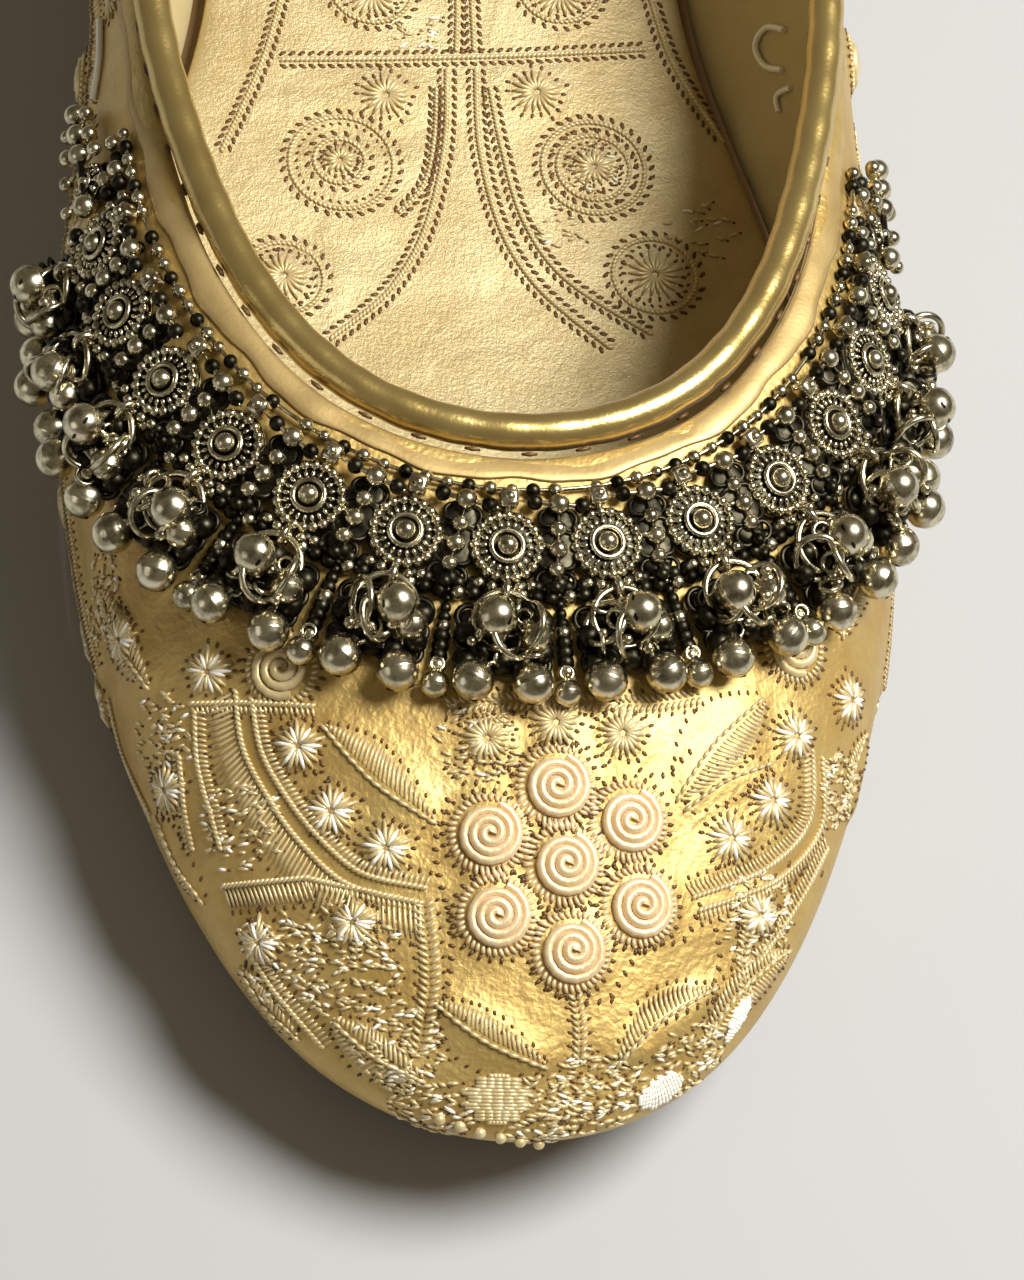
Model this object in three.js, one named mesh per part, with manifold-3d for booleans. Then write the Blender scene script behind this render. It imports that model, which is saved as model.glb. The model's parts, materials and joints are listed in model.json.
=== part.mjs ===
// A woman's mojari: one flat slip-on shoe of gold embroidered leather, with a chain of bells round its throat.
// Millimetres. +Z is up, the toe points along -Y and the heel along +Y, and the shoe stands on z = 0.
// It is made on a straight last, so its two sides are alike and it fits either foot.

import * as THREE from 'three';
import { mergeVertices } from 'three/addons/utils/BufferGeometryUtils.js';
import Module from 'manifold-3d';

const wasm = await Module();
wasm.setup();

// Driving sizes of the shoe. Places along it are measured from the toe tip.
const LENGTH = 248;
const SOLE_THICK = 4;
const INSOLE_THICK = 3;
const WALL = 2;
const GAP = 0.3;
const HEEL_LIFT = { front: 187, height: 7, inset: 0.8 };
const PIPING_RADIUS = 1.85;

// Driving sizes of the trim round the throat. Ahead is away from the collar, beside is along it.
const TRIM = { links: 13, pitch: 10.4, fromPiping: 12.9, shift: -1.9 };
const ROSETTE = { radius: 4, edge: 1.3, dome: 2, bossRadius: 1, bossTop: 3 };
const BEAD = { radius: 1.15, behind: 5.3, beside: 5, height: 1.3 };
const EYE = { ahead: 5, height: 1.7, radius: 1.05, wire: 0.42 };
const RING = { radius: 3.2, wire: 0.42 };
const BELL = { radius: 2.2, neck: 0.6, hang: 4 };
const OUTER_BELLS = { spread: 2.45, widest: 3.3, fan: 13 };
const INNER_BELL = { aside: 1.2, ahead: 3.6, up: 2.7, angle: 1.4 };
const TRIM_END = { away: 9.4, radius: 2.4, edge: 1.1, dome: 1.7, beadRadius: 1.3, wire: 0.4 };
const END_BEADS = [{ along: -4 }, { along: 4.3 }, { along: 7.6 }, { along: 10.9 }];

// Facets: stations round the shoe, steps up its wall, and sides of round pieces
const STATIONS = 60;
const BEND_STEP = 3;
const OUTER_STEPS = [0, 0.07, 0.15, 0.25, 0.37, 0.5, 0.63, 0.76, 0.88, 1];
const INNER_STEPS = [1, 0.84, 0.66, 0.48, 0.3, 0.14, 0];
const SLAB_ROWS = 30;
const SIDES = { piping: 6, rosette: 8, bead: 6, eye: 6, ring: 8, wire: 4, bell: 6 };
const BALL_RINGS = 4;

// The edge of the sole and upper: distance from the toe tip, and half width there
const EDGE_SECTIONS = [
  { along: 4.4, half: 0 },
  { along: 6, half: 10 },
  { along: 10.4, half: 17 },
  { along: 18.8, half: 23.8 },
  { along: 30, half: 30 },
  { along: 44, half: 36 },
  { along: 62, half: 40.8 },
  { along: 80, half: 42.2 },
  { along: 97, half: 42 },
  { along: 112, half: 40 },
  { along: 126, half: 36 },
  { along: 138, half: 32 },
  { along: 150, half: 29.6 },
  { along: 170, half: 29.6 },
  { along: 190, half: 31 },
  { along: 206, half: 31 },
  { along: 221, half: 28 },
  { along: 234, half: 21.4 },
  { along: 243, half: 11.4 },
  { along: 246, half: 0 },
];

// The underside of the sole: toe spring, flat forefoot, arch and heel seat
const UNDERSIDE = [
  { along: 0, height: 6.2 },
  { along: 14, height: 3.6 },
  { along: 32, height: 1.2 },
  { along: 54, height: 0 },
  { along: 96, height: 0 },
  { along: 120, height: 1.6 },
  { along: 150, height: 5 },
  { along: 176, height: 7 },
  { along: 187, height: HEEL_LIFT.height + GAP },
  { along: LENGTH, height: HEEL_LIFT.height + GAP },
];

// The middle of the collar's piping, from the throat to the back of the heel
const COLLAR_SECTIONS = [
  { along: 67.9, half: 0, height: 41 },
  { along: 69.7, half: 10.6, height: 41 },
  { along: 73.5, half: 17.6, height: 41 },
  { along: 78.9, half: 23, height: 41 },
  { along: 89.2, half: 29, height: 41 },
  { along: 99.5, half: 32.4, height: 41 },
  { along: 109.6, half: 35, height: 41 },
  { along: 124, half: 37.3, height: 41.6 },
  { along: 142, half: 37.6, height: 43.2 },
  { along: 160, half: 36, height: 45.8 },
  { along: 180, half: 33, height: 49.4 },
  { along: 200, half: 28.8, height: 53.4 },
  { along: 220, half: 22.8, height: 57.4 },
  { along: 234, half: 16.6, height: 60 },
  { along: 241.6, half: 9.4, height: 60.8 },
  { along: 244.5, half: 0, height: 61 },
];

// The wall's shape at stations round one side, as a share of the edge from toe to heel.
// It leaves the sole's edge by out and up, and arrives at the collar with a reach and a slope in degrees.
// The column collar is the share of the collar's length that the station meets.
const WALL_SECTIONS = [
  { share: 0, collar: 0, out: 24, up: 10, reach: 28, slope: 15 },
  { share: 0.1, collar: 0.061, out: 17, up: 12, reach: 26, slope: 15 },
  { share: 0.2, collar: 0.122, out: 9.8, up: 13, reach: 22, slope: 19 },
  { share: 0.3, collar: 0.181, out: 6, up: 14, reach: 18, slope: 26 },
  { share: 0.4, collar: 0.24, out: 7, up: 15, reach: 14, slope: 42 },
  { share: 0.46, collar: 0.283, out: 8, up: 14, reach: 12, slope: 57 },
  { share: 0.55, collar: 0.405, out: 13, up: 12, reach: 12, slope: 74 },
  { share: 0.65, collar: 0.54, out: 14, up: 13, reach: 13, slope: 80 },
  { share: 0.8, collar: 0.745, out: 6, up: 15, reach: 16, slope: 82 },
  { share: 0.9, collar: 0.873, out: 4.5, up: 16, reach: 17, slope: 83 },
  { share: 1, collar: 1, out: 4, up: 17, reach: 17, slope: 84 },
];

const COLOURS = { gold: 0xc9a95c, foil: 0xd8bf7c, satin: 0xc4a04f, tan: 0x8a6a45, silver: 0x77736a };
const UP = new THREE.Vector3(0, 0, 1);

// A smooth function through one column of a table, which never swings past its rows
function column(rows, key, name) {
  const x = rows.map((row) => row[key]);
  const y = rows.map((row) => row[name]);
  const slope = x.slice(1).map((end, i) => (y[i + 1] - y[i]) / (end - x[i]));
  const lean = x.map((_, i) => {
    if (i === 0 || i === x.length - 1 || slope[i - 1] * slope[i] <= 0) return 0;
    return (2 * slope[i - 1] * slope[i]) / (slope[i - 1] + slope[i]);
  });
  return (at) => {
    const clamped = Math.min(Math.max(at, x[0]), x[x.length - 1]);
    const i = Math.min(x.findLastIndex((value) => value <= clamped), x.length - 2);
    const span = x[i + 1] - x[i];
    const t = (clamped - x[i]) / span;
    const straight = y[i] + (y[i + 1] - y[i]) * t * t * (3 - 2 * t);
    return straight + span * t * (1 - t) * ((1 - t) * lean[i] - t * lean[i + 1]);
  };
}

// A closed curve through a table's sections, right side from toe to heel and left side back
function closedCurve(rows, height) {
  const right = rows.map((row) => new THREE.Vector3(row.half, row.along - LENGTH / 2, height(row)));
  const left = right.slice(1, -1).reverse().map((p) => new THREE.Vector3(-p.x, p.y, p.z));
  const curve = new THREE.CatmullRomCurve3([...right, ...left], true, 'centripetal');
  curve.arcLengthDivisions = 2000;
  return curve;
}

const underside = column(UNDERSIDE, 'along', 'height');
const edgeCurve = closedCurve(EDGE_SECTIONS, () => 0);
const collarCurve = closedCurve(COLLAR_SECTIONS, (row) => row.height);

// The height of the sole's underside at a place in the shoe's own frame
function soleUnder(y) {
  return underside(y + LENGTH / 2);
}

// A point and its outward level direction on a closed curve, at a share from -1 to 1 with 0 at the front
function onCurve(curve, share) {
  const size = Math.abs(share);
  const point = curve.getPointAt(size / 2);
  const tangent = curve.getTangentAt(size / 2);
  const outward = new THREE.Vector3(tangent.y, -tangent.x, 0).normalize();
  const mirror = new THREE.Vector3(share < 0 ? -1 : 1, 1, 1);
  return { point: point.multiply(mirror), outward: outward.multiply(mirror) };
}

const wallColumn = Object.fromEntries(
  ['collar', 'out', 'up', 'reach', 'slope'].map((name) => [name, column(WALL_SECTIONS, 'share', name)]),
);

// The wall's curve at a share of the sole's edge, from the edge up to the collar
function meridian(share) {
  const size = Math.abs(share);
  const edge = onCurve(edgeCurve, share);
  const foot = edge.point.clone().setZ(soleUnder(edge.point.y) + SOLE_THICK + GAP);
  const leave = foot.clone()
    .addScaledVector(edge.outward, wallColumn.out(size))
    .addScaledVector(UP, wallColumn.up(size));
  const collar = onCurve(collarCurve, Math.sign(share) * wallColumn.collar(size));
  const slope = THREE.MathUtils.degToRad(wallColumn.slope(size));
  const down = collar.outward.clone().multiplyScalar(Math.cos(slope)).addScaledVector(UP, -Math.sin(slope));
  const face = collar.outward.clone().multiplyScalar(Math.sin(slope)).addScaledVector(UP, Math.cos(slope));
  const top = collar.point.clone()
    .addScaledVector(down, PIPING_RADIUS + GAP)
    .addScaledVector(face, WALL / 2);
  const arrive = top.clone().addScaledVector(down, wallColumn.reach(size));
  return new THREE.CubicBezierCurve3(foot, leave, arrive, top);
}

// The outer face of the upper: a point and its outward normal, at a share round and a step up
function outerFace(share, step) {
  const nudge = 1e-3;
  const low = Math.min(Math.max(step, nudge), 1 - nudge);
  const along = meridian(share + nudge).getPoint(low).sub(meridian(share - nudge).getPoint(low));
  const upward = meridian(share).getPoint(low + nudge).sub(meridian(share).getPoint(low - nudge));
  return { point: meridian(share).getPoint(step), normal: along.cross(upward).normalize() };
}

// A geometry of points and triangles, without triangles that have shrunk to a line
function meshOf(positions, faces) {
  const raw = new THREE.BufferGeometry();
  raw.setAttribute('position', new THREE.Float32BufferAttribute(positions, 3));
  raw.setIndex(faces);
  return merged(raw);
}

// A geometry with its shared vertices merged
function merged(raw) {
  const bare = raw.clone();
  bare.deleteAttribute('normal');
  bare.deleteAttribute('uv');
  const geometry = mergeVertices(bare, 1e-4);
  const index = Array.from(geometry.index.array);
  const kept = [];
  for (let i = 0; i < index.length; i += 3) {
    const [a, b, c] = index.slice(i, i + 3);
    if (a !== b && b !== c && c !== a) kept.push(a, b, c);
  }
  geometry.setIndex(kept);
  return geometry;
}

// A closed mesh whose points run round two loops, as on a ring
function loopGrid(around, across, pointAt) {
  const positions = [];
  const faces = [];
  for (let i = 0; i < around; i += 1) {
    for (let j = 0; j < across; j += 1) {
      positions.push(...pointAt(i, j).toArray());
      const next = (i + 1) % around;
      const beside = (j + 1) % across;
      const [a, b, c, d] = [[i, j], [next, j], [next, beside], [i, beside]].map(([m, n]) => m * across + n);
      faces.push(a, b, c, a, c, d);
    }
  }
  return meshOf(positions, faces);
}

// The share of station i, from the toe round the right side and back up the left
function stationShare(i) {
  const half = STATIONS / 2;
  return i <= half ? i / half : (i - STATIONS) / half;
}

// The upper: one wall, open at the collar and underneath
function upperGeometry() {
  const across = OUTER_STEPS.length + INNER_STEPS.length;
  return loopGrid(STATIONS, across, (i, j) => {
    const share = stationShare(i);
    if (j < OUTER_STEPS.length) return meridian(share).getPoint(OUTER_STEPS[j]);
    const { point, normal } = outerFace(share, INNER_STEPS[j - OUTER_STEPS.length]);
    if (j === across - 1) normal.setZ(0).normalize();
    return point.addScaledVector(normal, -WALL);
  });
}

// The piping: a round tube along the collar
function pipingGeometry() {
  return loopGrid(STATIONS, SIDES.piping, (i, j) => {
    const { point, outward } = onCurve(collarCurve, stationShare(i));
    const angle = (j / SIDES.piping) * 2 * Math.PI;
    return point
      .addScaledVector(outward, PIPING_RADIUS * Math.cos(angle))
      .addScaledVector(UP, PIPING_RADIUS * Math.sin(angle));
  });
}

// A slab inside the sole's edge from one share to another. Each level has an inset and a height.
function slabGeometry(from, to, levels) {
  const positions = [];
  const faces = [];
  levels.forEach((level) => {
    for (let row = 0; row < SLAB_ROWS; row += 1) {
      const { point, outward } = onCurve(edgeCurve, from + ((to - from) * row) / (SLAB_ROWS - 1));
      const { x, y } = point.addScaledVector(outward, -level.inset);
      positions.push(x, y, level.height(y), -x, y, level.height(y));
    }
  });
  const quad = (a, b, c, d) => faces.push(a, b, c, a, c, d);
  const at = (level, row, left) => (level * SLAB_ROWS + row) * 2 + left;
  const top = levels.length - 1;
  const end = SLAB_ROWS - 1;
  for (let row = 0; row < end; row += 1) {
    quad(at(0, row, 0), at(0, row, 1), at(0, row + 1, 1), at(0, row + 1, 0));
    quad(at(top, row, 1), at(top, row, 0), at(top, row + 1, 0), at(top, row + 1, 1));
    for (let level = 0; level < top; level += 1) {
      quad(at(level, row, 0), at(level, row + 1, 0), at(level + 1, row + 1, 0), at(level + 1, row, 0));
      quad(at(level, row + 1, 1), at(level, row, 1), at(level + 1, row, 1), at(level + 1, row + 1, 1));
    }
  }
  for (let level = 0; level < top; level += 1) {
    quad(at(level, 0, 1), at(level, 0, 0), at(level + 1, 0, 0), at(level + 1, 0, 1));
    quad(at(level, end, 0), at(level, end, 1), at(level + 1, end, 1), at(level + 1, end, 0));
  }
  return meshOf(positions, faces);
}

// The share of the sole's edge that lies at a distance from the toe tip
function shareAlong(along) {
  let [low, high] = [0, 1];
  for (let i = 0; i < 30; i += 1) {
    const middle = (low + high) / 2;
    if (onCurve(edgeCurve, middle).point.y + LENGTH / 2 < along) low = middle;
    else high = middle;
  }
  return low;
}

// The outsole, with softened edges
function outsoleGeometry() {
  const under = (rise) => (y) => soleUnder(y) + rise;
  return slabGeometry(0, 1, [
    { inset: 0.9, height: under(0) },
    { inset: 0, height: under(0.9) },
    { inset: 0, height: under(SOLE_THICK - 0.6) },
    { inset: 0.4, height: under(SOLE_THICK) },
  ]);
}

// The insole, which lies inside the wall on the outsole
function insoleGeometry() {
  const over = (rise) => (y) => soleUnder(y) + SOLE_THICK + GAP + rise;
  const inside = WALL + GAP;
  return slabGeometry(0, 1, [
    { inset: inside, height: over(0) },
    { inset: inside, height: over(INSOLE_THICK - 0.9) },
    { inset: inside + 1, height: over(INSOLE_THICK) },
  ]);
}

// The heel lift, tapering a little to the ground
function heelLiftGeometry() {
  return slabGeometry(shareAlong(HEEL_LIFT.front), 1, [
    { inset: HEEL_LIFT.inset + 0.9, height: () => 0 },
    { inset: HEEL_LIFT.inset + 0.5, height: () => 0.6 },
    { inset: HEEL_LIFT.inset, height: () => HEEL_LIFT.height },
  ]);
}

// A manifold of a closed geometry, moved by a matrix
function manifoldOf(geometry, matrix = new THREE.Matrix4()) {
  const moved = merged(geometry.clone().applyMatrix4(matrix));
  return new wasm.Manifold(new wasm.Mesh({
    numProp: 3,
    vertProperties: new Float32Array(moved.attributes.position.array),
    triVerts: new Uint32Array(moved.index.array),
  }));
}

// One body from several that overlap
function fuse(parts) {
  const { vertProperties, triVerts } = parts.reduce((whole, part) => whole.add(part)).getMesh();
  return meshOf(Array.from(vertProperties), Array.from(triVerts));
}

// A small bead of the trim
function bead(radius, x, y, z) {
  const sphere = new THREE.SphereGeometry(radius, SIDES.bead, BALL_RINGS);
  return manifoldOf(sphere, new THREE.Matrix4().makeTranslation(x, y, z));
}

// A straight round bar between two points
function bar(radius, start, end) {
  const along = end.clone().sub(start);
  const cylinder = new THREE.CylinderGeometry(radius, radius, along.length(), SIDES.wire);
  const turn = new THREE.Quaternion().setFromUnitVectors(new THREE.Vector3(0, 1, 0), along.clone().normalize());
  const middle = start.clone().add(end).multiplyScalar(0.5);
  return manifoldOf(cylinder, new THREE.Matrix4().compose(middle, turn, new THREE.Vector3(1, 1, 1)));
}

// A turned disc on the plane z = 0, from a profile of radius and height
function disc(profile) {
  const lathe = new THREE.LatheGeometry(profile.map(([r, z]) => new THREE.Vector2(r, z)), SIDES.rosette);
  return manifoldOf(lathe, new THREE.Matrix4().makeRotationX(Math.PI / 2));
}

// One cast link: a rosette with a boss, two beads towards the collar, one bead beside, and an eye ahead
function linkGeometry(last) {
  const { radius, edge, dome, bossRadius, bossTop } = ROSETTE;
  const rosette = disc([
    [0, 0], [radius, 0], [radius, edge], [radius * 0.72, dome],
    [bossRadius, dome], [bossRadius * 0.6, bossTop], [0, bossTop],
  ]);
  const eyeRing = new THREE.TorusGeometry(EYE.radius, EYE.wire, SIDES.wire, SIDES.eye);
  const turn = new THREE.Matrix4().makeRotationY(Math.PI / 2).setPosition(0, -EYE.ahead, EYE.height);
  const parts = [
    rosette,
    manifoldOf(eyeRing, turn),
    bead(BEAD.radius, 0, BEAD.behind - 0.3, BEAD.height),
  ];
  if (!last) parts.push(bead(BEAD.radius * 0.9, BEAD.beside - 0.2, 0, BEAD.height));
  return fuse(parts);
}

// The end of the chain: a small rosette and a string of beads on a wire, which runs on to one side
function endGeometry(side) {
  const { radius, edge, dome, beadRadius, wire } = TRIM_END;
  const places = END_BEADS.map(({ along }) => side * along);
  const [first, last] = [Math.min(...places), Math.max(...places)];
  return fuse([
    disc([[0, 0], [radius, 0], [radius, edge], [radius * 0.6, dome], [0, dome]]),
    bar(wire, new THREE.Vector3(first, 0, beadRadius), new THREE.Vector3(last, 0, beadRadius)),
    ...places.map((x) => bead(beadRadius, x, 0, beadRadius)),
  ]);
}

// A round bell about a place, with its neck reaching to a point
function bell(centre, neckEnd) {
  const ballPart = manifoldOf(
    new THREE.SphereGeometry(BELL.radius, SIDES.bell, BALL_RINGS),
    new THREE.Matrix4().makeTranslation(centre.x, centre.y, centre.z),
  );
  return ballPart.add(bar(BELL.neck, centre, neckEnd));
}

// The middle of a tassel's ring, and the points on its wire and beyond at an angle from straight ahead
const ringMiddle = new THREE.Vector3(0, -RING.radius, 0);
function beyondRing(angle, distance) {
  const way = new THREE.Vector3(Math.sin(angle), -Math.cos(angle), 0);
  return ringMiddle.clone().addScaledVector(way, RING.radius + distance);
}

// The angles at which the two outer bells hang on the ring
function outerAngles(spread) {
  return [-1, 1].map((hand) => hand * Math.asin(spread / (RING.radius + BELL.hang)));
}

// The bells of one link, hung on a jump ring. The ring turns about the X axis in the link's eye.
function tasselGeometry(spread, side) {
  const ring = manifoldOf(
    new THREE.TorusGeometry(RING.radius, RING.wire, SIDES.wire, SIDES.ring),
    new THREE.Matrix4().makeTranslation(ringMiddle.x, ringMiddle.y, ringMiddle.z),
  );
  const outer = outerAngles(spread).map((angle) => bell(beyondRing(angle, BELL.hang), beyondRing(angle, 0)));
  const innerCentre = new THREE.Vector3(side * INNER_BELL.aside, -INNER_BELL.ahead, INNER_BELL.up);
  const inner = bell(innerCentre, beyondRing(side * INNER_BELL.angle, 0));
  return fuse([ring, ...outer, inner]);
}

// What of a tassel can lie on the leather: its outer bells and the far side of its ring
function hangingBalls(spread) {
  return [
    ...outerAngles(spread).map((angle) => ({ centre: beyondRing(angle, BELL.hang), radius: BELL.radius })),
    { centre: beyondRing(0, 0), radius: RING.wire },
  ];
}

// Points of the collar's piping, close enough together to measure from
const collarPoints = Array.from({ length: 401 }, (_, i) => onCurve(collarCurve, (i - 200) / 200).point);

function distanceToPiping(point) {
  return Math.min(...collarPoints.map((p) => p.distanceTo(point)));
}

// The step up the wall, at a share, where the trim's middle lies
function trimStep(share) {
  let [low, high] = [0.2, 1];
  for (let i = 0; i < 16; i += 1) {
    const middle = (low + high) / 2;
    if (distanceToPiping(meridian(share).getPoint(middle)) > TRIM.fromPiping) low = middle;
    else high = middle;
  }
  return (low + high) / 2;
}

// The line of the trim round the throat, with each point's distance along it from the middle of the throat
function trimLine() {
  const reach = 0.62;
  const half = 62;
  const line = Array.from({ length: 2 * half + 1 }, (_, i) => {
    const share = (reach * (i - half)) / half;
    const step = trimStep(share);
    return { share, step, point: meridian(share).getPoint(step), distance: 0 };
  });
  for (let i = 1; i < line.length; i += 1) {
    line[i].distance = line[i - 1].distance + line[i].point.distanceTo(line[i - 1].point);
  }
  const middle = line[half].distance;
  line.forEach((place) => { place.distance -= middle; });
  return line;
}

const line = trimLine();

// The frame of a piece of the trim: x along the trim, y towards the collar, z out of the leather
function trimFrame(distance) {
  const i = line.findLastIndex((place) => place.distance <= distance);
  const [before, after] = [line[i], line[i + 1]];
  const t = (distance - before.distance) / (after.distance - before.distance);
  const share = before.share + (after.share - before.share) * t;
  const step = before.step + (after.step - before.step) * t;
  const { point, normal } = outerFace(share, step);
  const along = after.point.clone().sub(before.point);
  const x = along.addScaledVector(normal, -along.dot(normal)).normalize();
  const y = normal.clone().cross(x);
  const matrix = new THREE.Matrix4().makeBasis(x, y, normal).setPosition(point);
  return { matrix, share, step, turn: x };
}

// The leather near a place of the trim, as points in the trim's frame
function leatherNear({ matrix, share, step }) {
  const inverse = matrix.clone().invert();
  const points = [];
  for (let i = -16; i <= 16; i += 1) {
    for (let j = -30; j <= 14; j += 1) {
      const height = Math.min(Math.max(step + j * 0.02, 0), 1);
      points.push(meridian(share + i * 0.004).getPoint(height).applyMatrix4(inverse));
    }
  }
  return points;
}

// How far a flat foot of some radius must be lifted to clear the leather
function seatHeight(leather, radius, x = 0, y = 0) {
  const under = leather.filter((p) => Math.hypot(p.x - x, p.y - y) < radius);
  return Math.max(...under.map((p) => p.z)) + GAP;
}

// The turn at which a hanging set of balls comes to lie on the leather
function restAngle(leather, pivot, balls) {
  const clear = (angle) => balls.every(({ centre, radius }) => {
    const turned = centre.clone().applyAxisAngle(new THREE.Vector3(1, 0, 0), -angle).add(pivot);
    return leather.every((p) => p.distanceTo(turned) > radius + GAP);
  });
  const step = THREE.MathUtils.degToRad(0.5);
  let angle = Math.PI / 2;
  while (angle > -Math.PI / 3 && clear(angle - step)) angle -= step;
  return angle;
}

function named(name, geometry, colour, roughness, metalness) {
  const material = new THREE.MeshStandardMaterial({ color: colour, roughness, metalness });
  const mesh = new THREE.Mesh(geometry, material);
  mesh.name = name;
  return mesh;
}

const shoe = new THREE.Group();
shoe.add(named('outsole', outsoleGeometry(), COLOURS.tan, 0.6, 0));
shoe.add(named('heel_lift', heelLiftGeometry(), COLOURS.tan, 0.6, 0));
shoe.add(named('insole', insoleGeometry(), COLOURS.foil, 0.4, 0.6));
shoe.add(named('upper', upperGeometry(), COLOURS.gold, 0.45, 0.5));
shoe.add(named('collar_piping', pipingGeometry(), COLOURS.satin, 0.35, 0.4));

// The chain of links, from the viewer's left to right, each with its bells
const middleLink = (TRIM.links + 1) / 2;
for (let i = 1; i <= TRIM.links; i += 1) {
  const distance = (i - middleLink) * TRIM.pitch + TRIM.shift;
  const frame = trimFrame(distance);
  const leather = leatherNear(frame);
  const seat = seatHeight(leather, ROSETTE.radius);
  const number = String(i).padStart(2, '0');
  const place = new THREE.Group();
  place.applyMatrix4(frame.matrix);
  const link = named(`trim_link_${number}`, linkGeometry(i === TRIM.links), COLOURS.silver, 0.3, 1);
  link.position.z = seat;
  place.add(link);

  const bend = trimFrame(distance + BEND_STEP).turn.angleTo(trimFrame(distance - BEND_STEP).turn) / (2 * BEND_STEP);
  const spread = Math.min(OUTER_BELLS.spread * (1 + bend * OUTER_BELLS.fan), OUTER_BELLS.widest);
  const pivot = new THREE.Vector3(0, -EYE.ahead, seat + EYE.height);
  const tassel = named(`bell_tassel_${number}`, tasselGeometry(spread, i % 2 ? -1 : 1), COLOURS.silver, 0.25, 1);
  tassel.position.copy(pivot);
  tassel.rotation.x = -restAngle(leather, pivot, hangingBalls(spread));
  place.add(tassel);
  shoe.add(place);
}

// The two ends of the chain
[-1, 1].forEach((side) => {
  const lastLink = side * (middleLink - 1) * TRIM.pitch + TRIM.shift;
  const frame = trimFrame(lastLink + side * TRIM_END.away);
  const name = side < 0 ? 'trim_end_left' : 'trim_end_right';
  const end = named(name, endGeometry(side), COLOURS.silver, 0.3, 1);
  const place = new THREE.Group();
  place.applyMatrix4(frame.matrix);
  const leather = leatherNear(frame);
  const feet = [0, ...END_BEADS.map(({ along }) => side * along)];
  end.position.z = Math.max(...feet.map((x) => seatHeight(leather, TRIM_END.radius, x)));
  place.add(end);
  shoe.add(place);
});

export default shoe;
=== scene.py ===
# %% [markdown]
# A gold mojari: a flat slip-on shoe of gold embroidered leather with a chain of bells round its throat.
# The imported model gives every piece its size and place. This lesson dresses it, piece by piece. Sizes are
# written in millimetres and turned to metres by MM, because Blender works in metres.

import json
import random
from math import asin, copysign, cos, pi, radians, sin, sqrt, tau

import bmesh
import bpy
import numpy as np
from mathutils import Matrix, Vector
from mathutils.bvhtree import BVHTree


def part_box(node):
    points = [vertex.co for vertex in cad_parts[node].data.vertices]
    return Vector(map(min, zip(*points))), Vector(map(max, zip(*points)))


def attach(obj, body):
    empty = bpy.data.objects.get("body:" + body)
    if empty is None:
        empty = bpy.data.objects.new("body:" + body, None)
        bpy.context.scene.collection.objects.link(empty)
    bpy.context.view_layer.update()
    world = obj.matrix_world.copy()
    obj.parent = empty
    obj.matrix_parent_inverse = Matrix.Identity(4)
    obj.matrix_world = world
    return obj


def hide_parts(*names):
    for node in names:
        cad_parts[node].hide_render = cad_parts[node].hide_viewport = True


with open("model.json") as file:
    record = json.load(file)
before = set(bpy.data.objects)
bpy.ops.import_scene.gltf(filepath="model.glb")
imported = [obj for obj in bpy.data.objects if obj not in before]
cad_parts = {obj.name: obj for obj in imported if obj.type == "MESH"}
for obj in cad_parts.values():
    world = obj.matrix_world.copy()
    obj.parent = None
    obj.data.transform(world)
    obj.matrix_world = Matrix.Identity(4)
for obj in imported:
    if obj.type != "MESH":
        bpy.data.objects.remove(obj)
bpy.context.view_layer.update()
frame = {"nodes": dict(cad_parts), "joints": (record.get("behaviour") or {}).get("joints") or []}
MM = 0.001
LINKS = [f"{i:02d}" for i in range(1, 14)]
UP = Vector((0, 0, 1))

# %% [markdown]
# The camera comes first, because the embroidery is placed through it: a motif that sits at a pixel of the
# picture is found by a ray from the lens to the leather. The photo looks down on the toe from in front
# and a little to the left, with the frame turned, so the camera is built from an azimuth, a height and a
# roll.

# %% Camera
IMAGE = (1024, 1280)
FOCAL_PIXELS = 5200
SENSOR = 36
CAMERA = {"azimuth": -16.07, "elevation": 58, "roll": 15.04, "distance": 550}
TARGET = Vector((1.47, -68.2, 20)) * MM

azimuth, elevation, roll = (radians(CAMERA[key]) for key in ("azimuth", "elevation", "roll"))
back = Vector((sin(azimuth) * cos(elevation), -cos(azimuth) * cos(elevation), sin(elevation)))
level = (-back).cross(UP).normalized()
upright = level.cross(-back)
right = level * cos(roll) + upright * sin(roll)
top = upright * cos(roll) - level * sin(roll)
eye = TARGET + back * CAMERA["distance"] * MM

lens = bpy.data.cameras.new("camera")
lens.sensor_fit = "VERTICAL"
lens.sensor_height = SENSOR
lens.lens = FOCAL_PIXELS / IMAGE[1] * SENSOR
lens.clip_start = 0.01
camera = bpy.data.objects.new("camera", lens)
camera.matrix_world = Matrix.Translation(eye) @ Matrix((right, top, back)).transposed().to_4x4()
bpy.context.scene.collection.objects.link(camera)
bpy.context.scene.camera = camera
bpy.context.scene.view_settings.view_transform = "Standard"
print("lens", round(lens.lens, 1), "mm")


def pixel_ray(pixel):
    """The direction from the lens through a pixel of the picture."""
    across = (pixel[0] - IMAGE[0] / 2) / FOCAL_PIXELS
    down = (pixel[1] - IMAGE[1] / 2) / FOCAL_PIXELS
    return (right * across - top * down - back).normalized()


# %% [markdown]
# Helpers for materials. Hex colours are read off like paint chips, in sRGB, and the shader wants linear
# light, so one function turns them. One more adds a node with its settings and its links. All the
# finishes of this shoe are built alike: clouds between two colours, a gloss that follows a pattern, and
# bumps over one another.

# %% Material helpers
MIX_A, MIX_B, MIX_COLOUR = 6, 7, 2
PATTERN_VALUE = {"Noise": "Fac", "Voronoi": "Distance", "Wave": "Fac"}


def linear(code):
    """The linear colour of an sRGB hex code."""
    channels = [int(code[i : i + 2], 16) / 255 for i in (1, 3, 5)]
    return [c / 12.92 if c <= 0.04045 else ((c + 0.055) / 1.055) ** 2.4 for c in channels] + [1]


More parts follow.
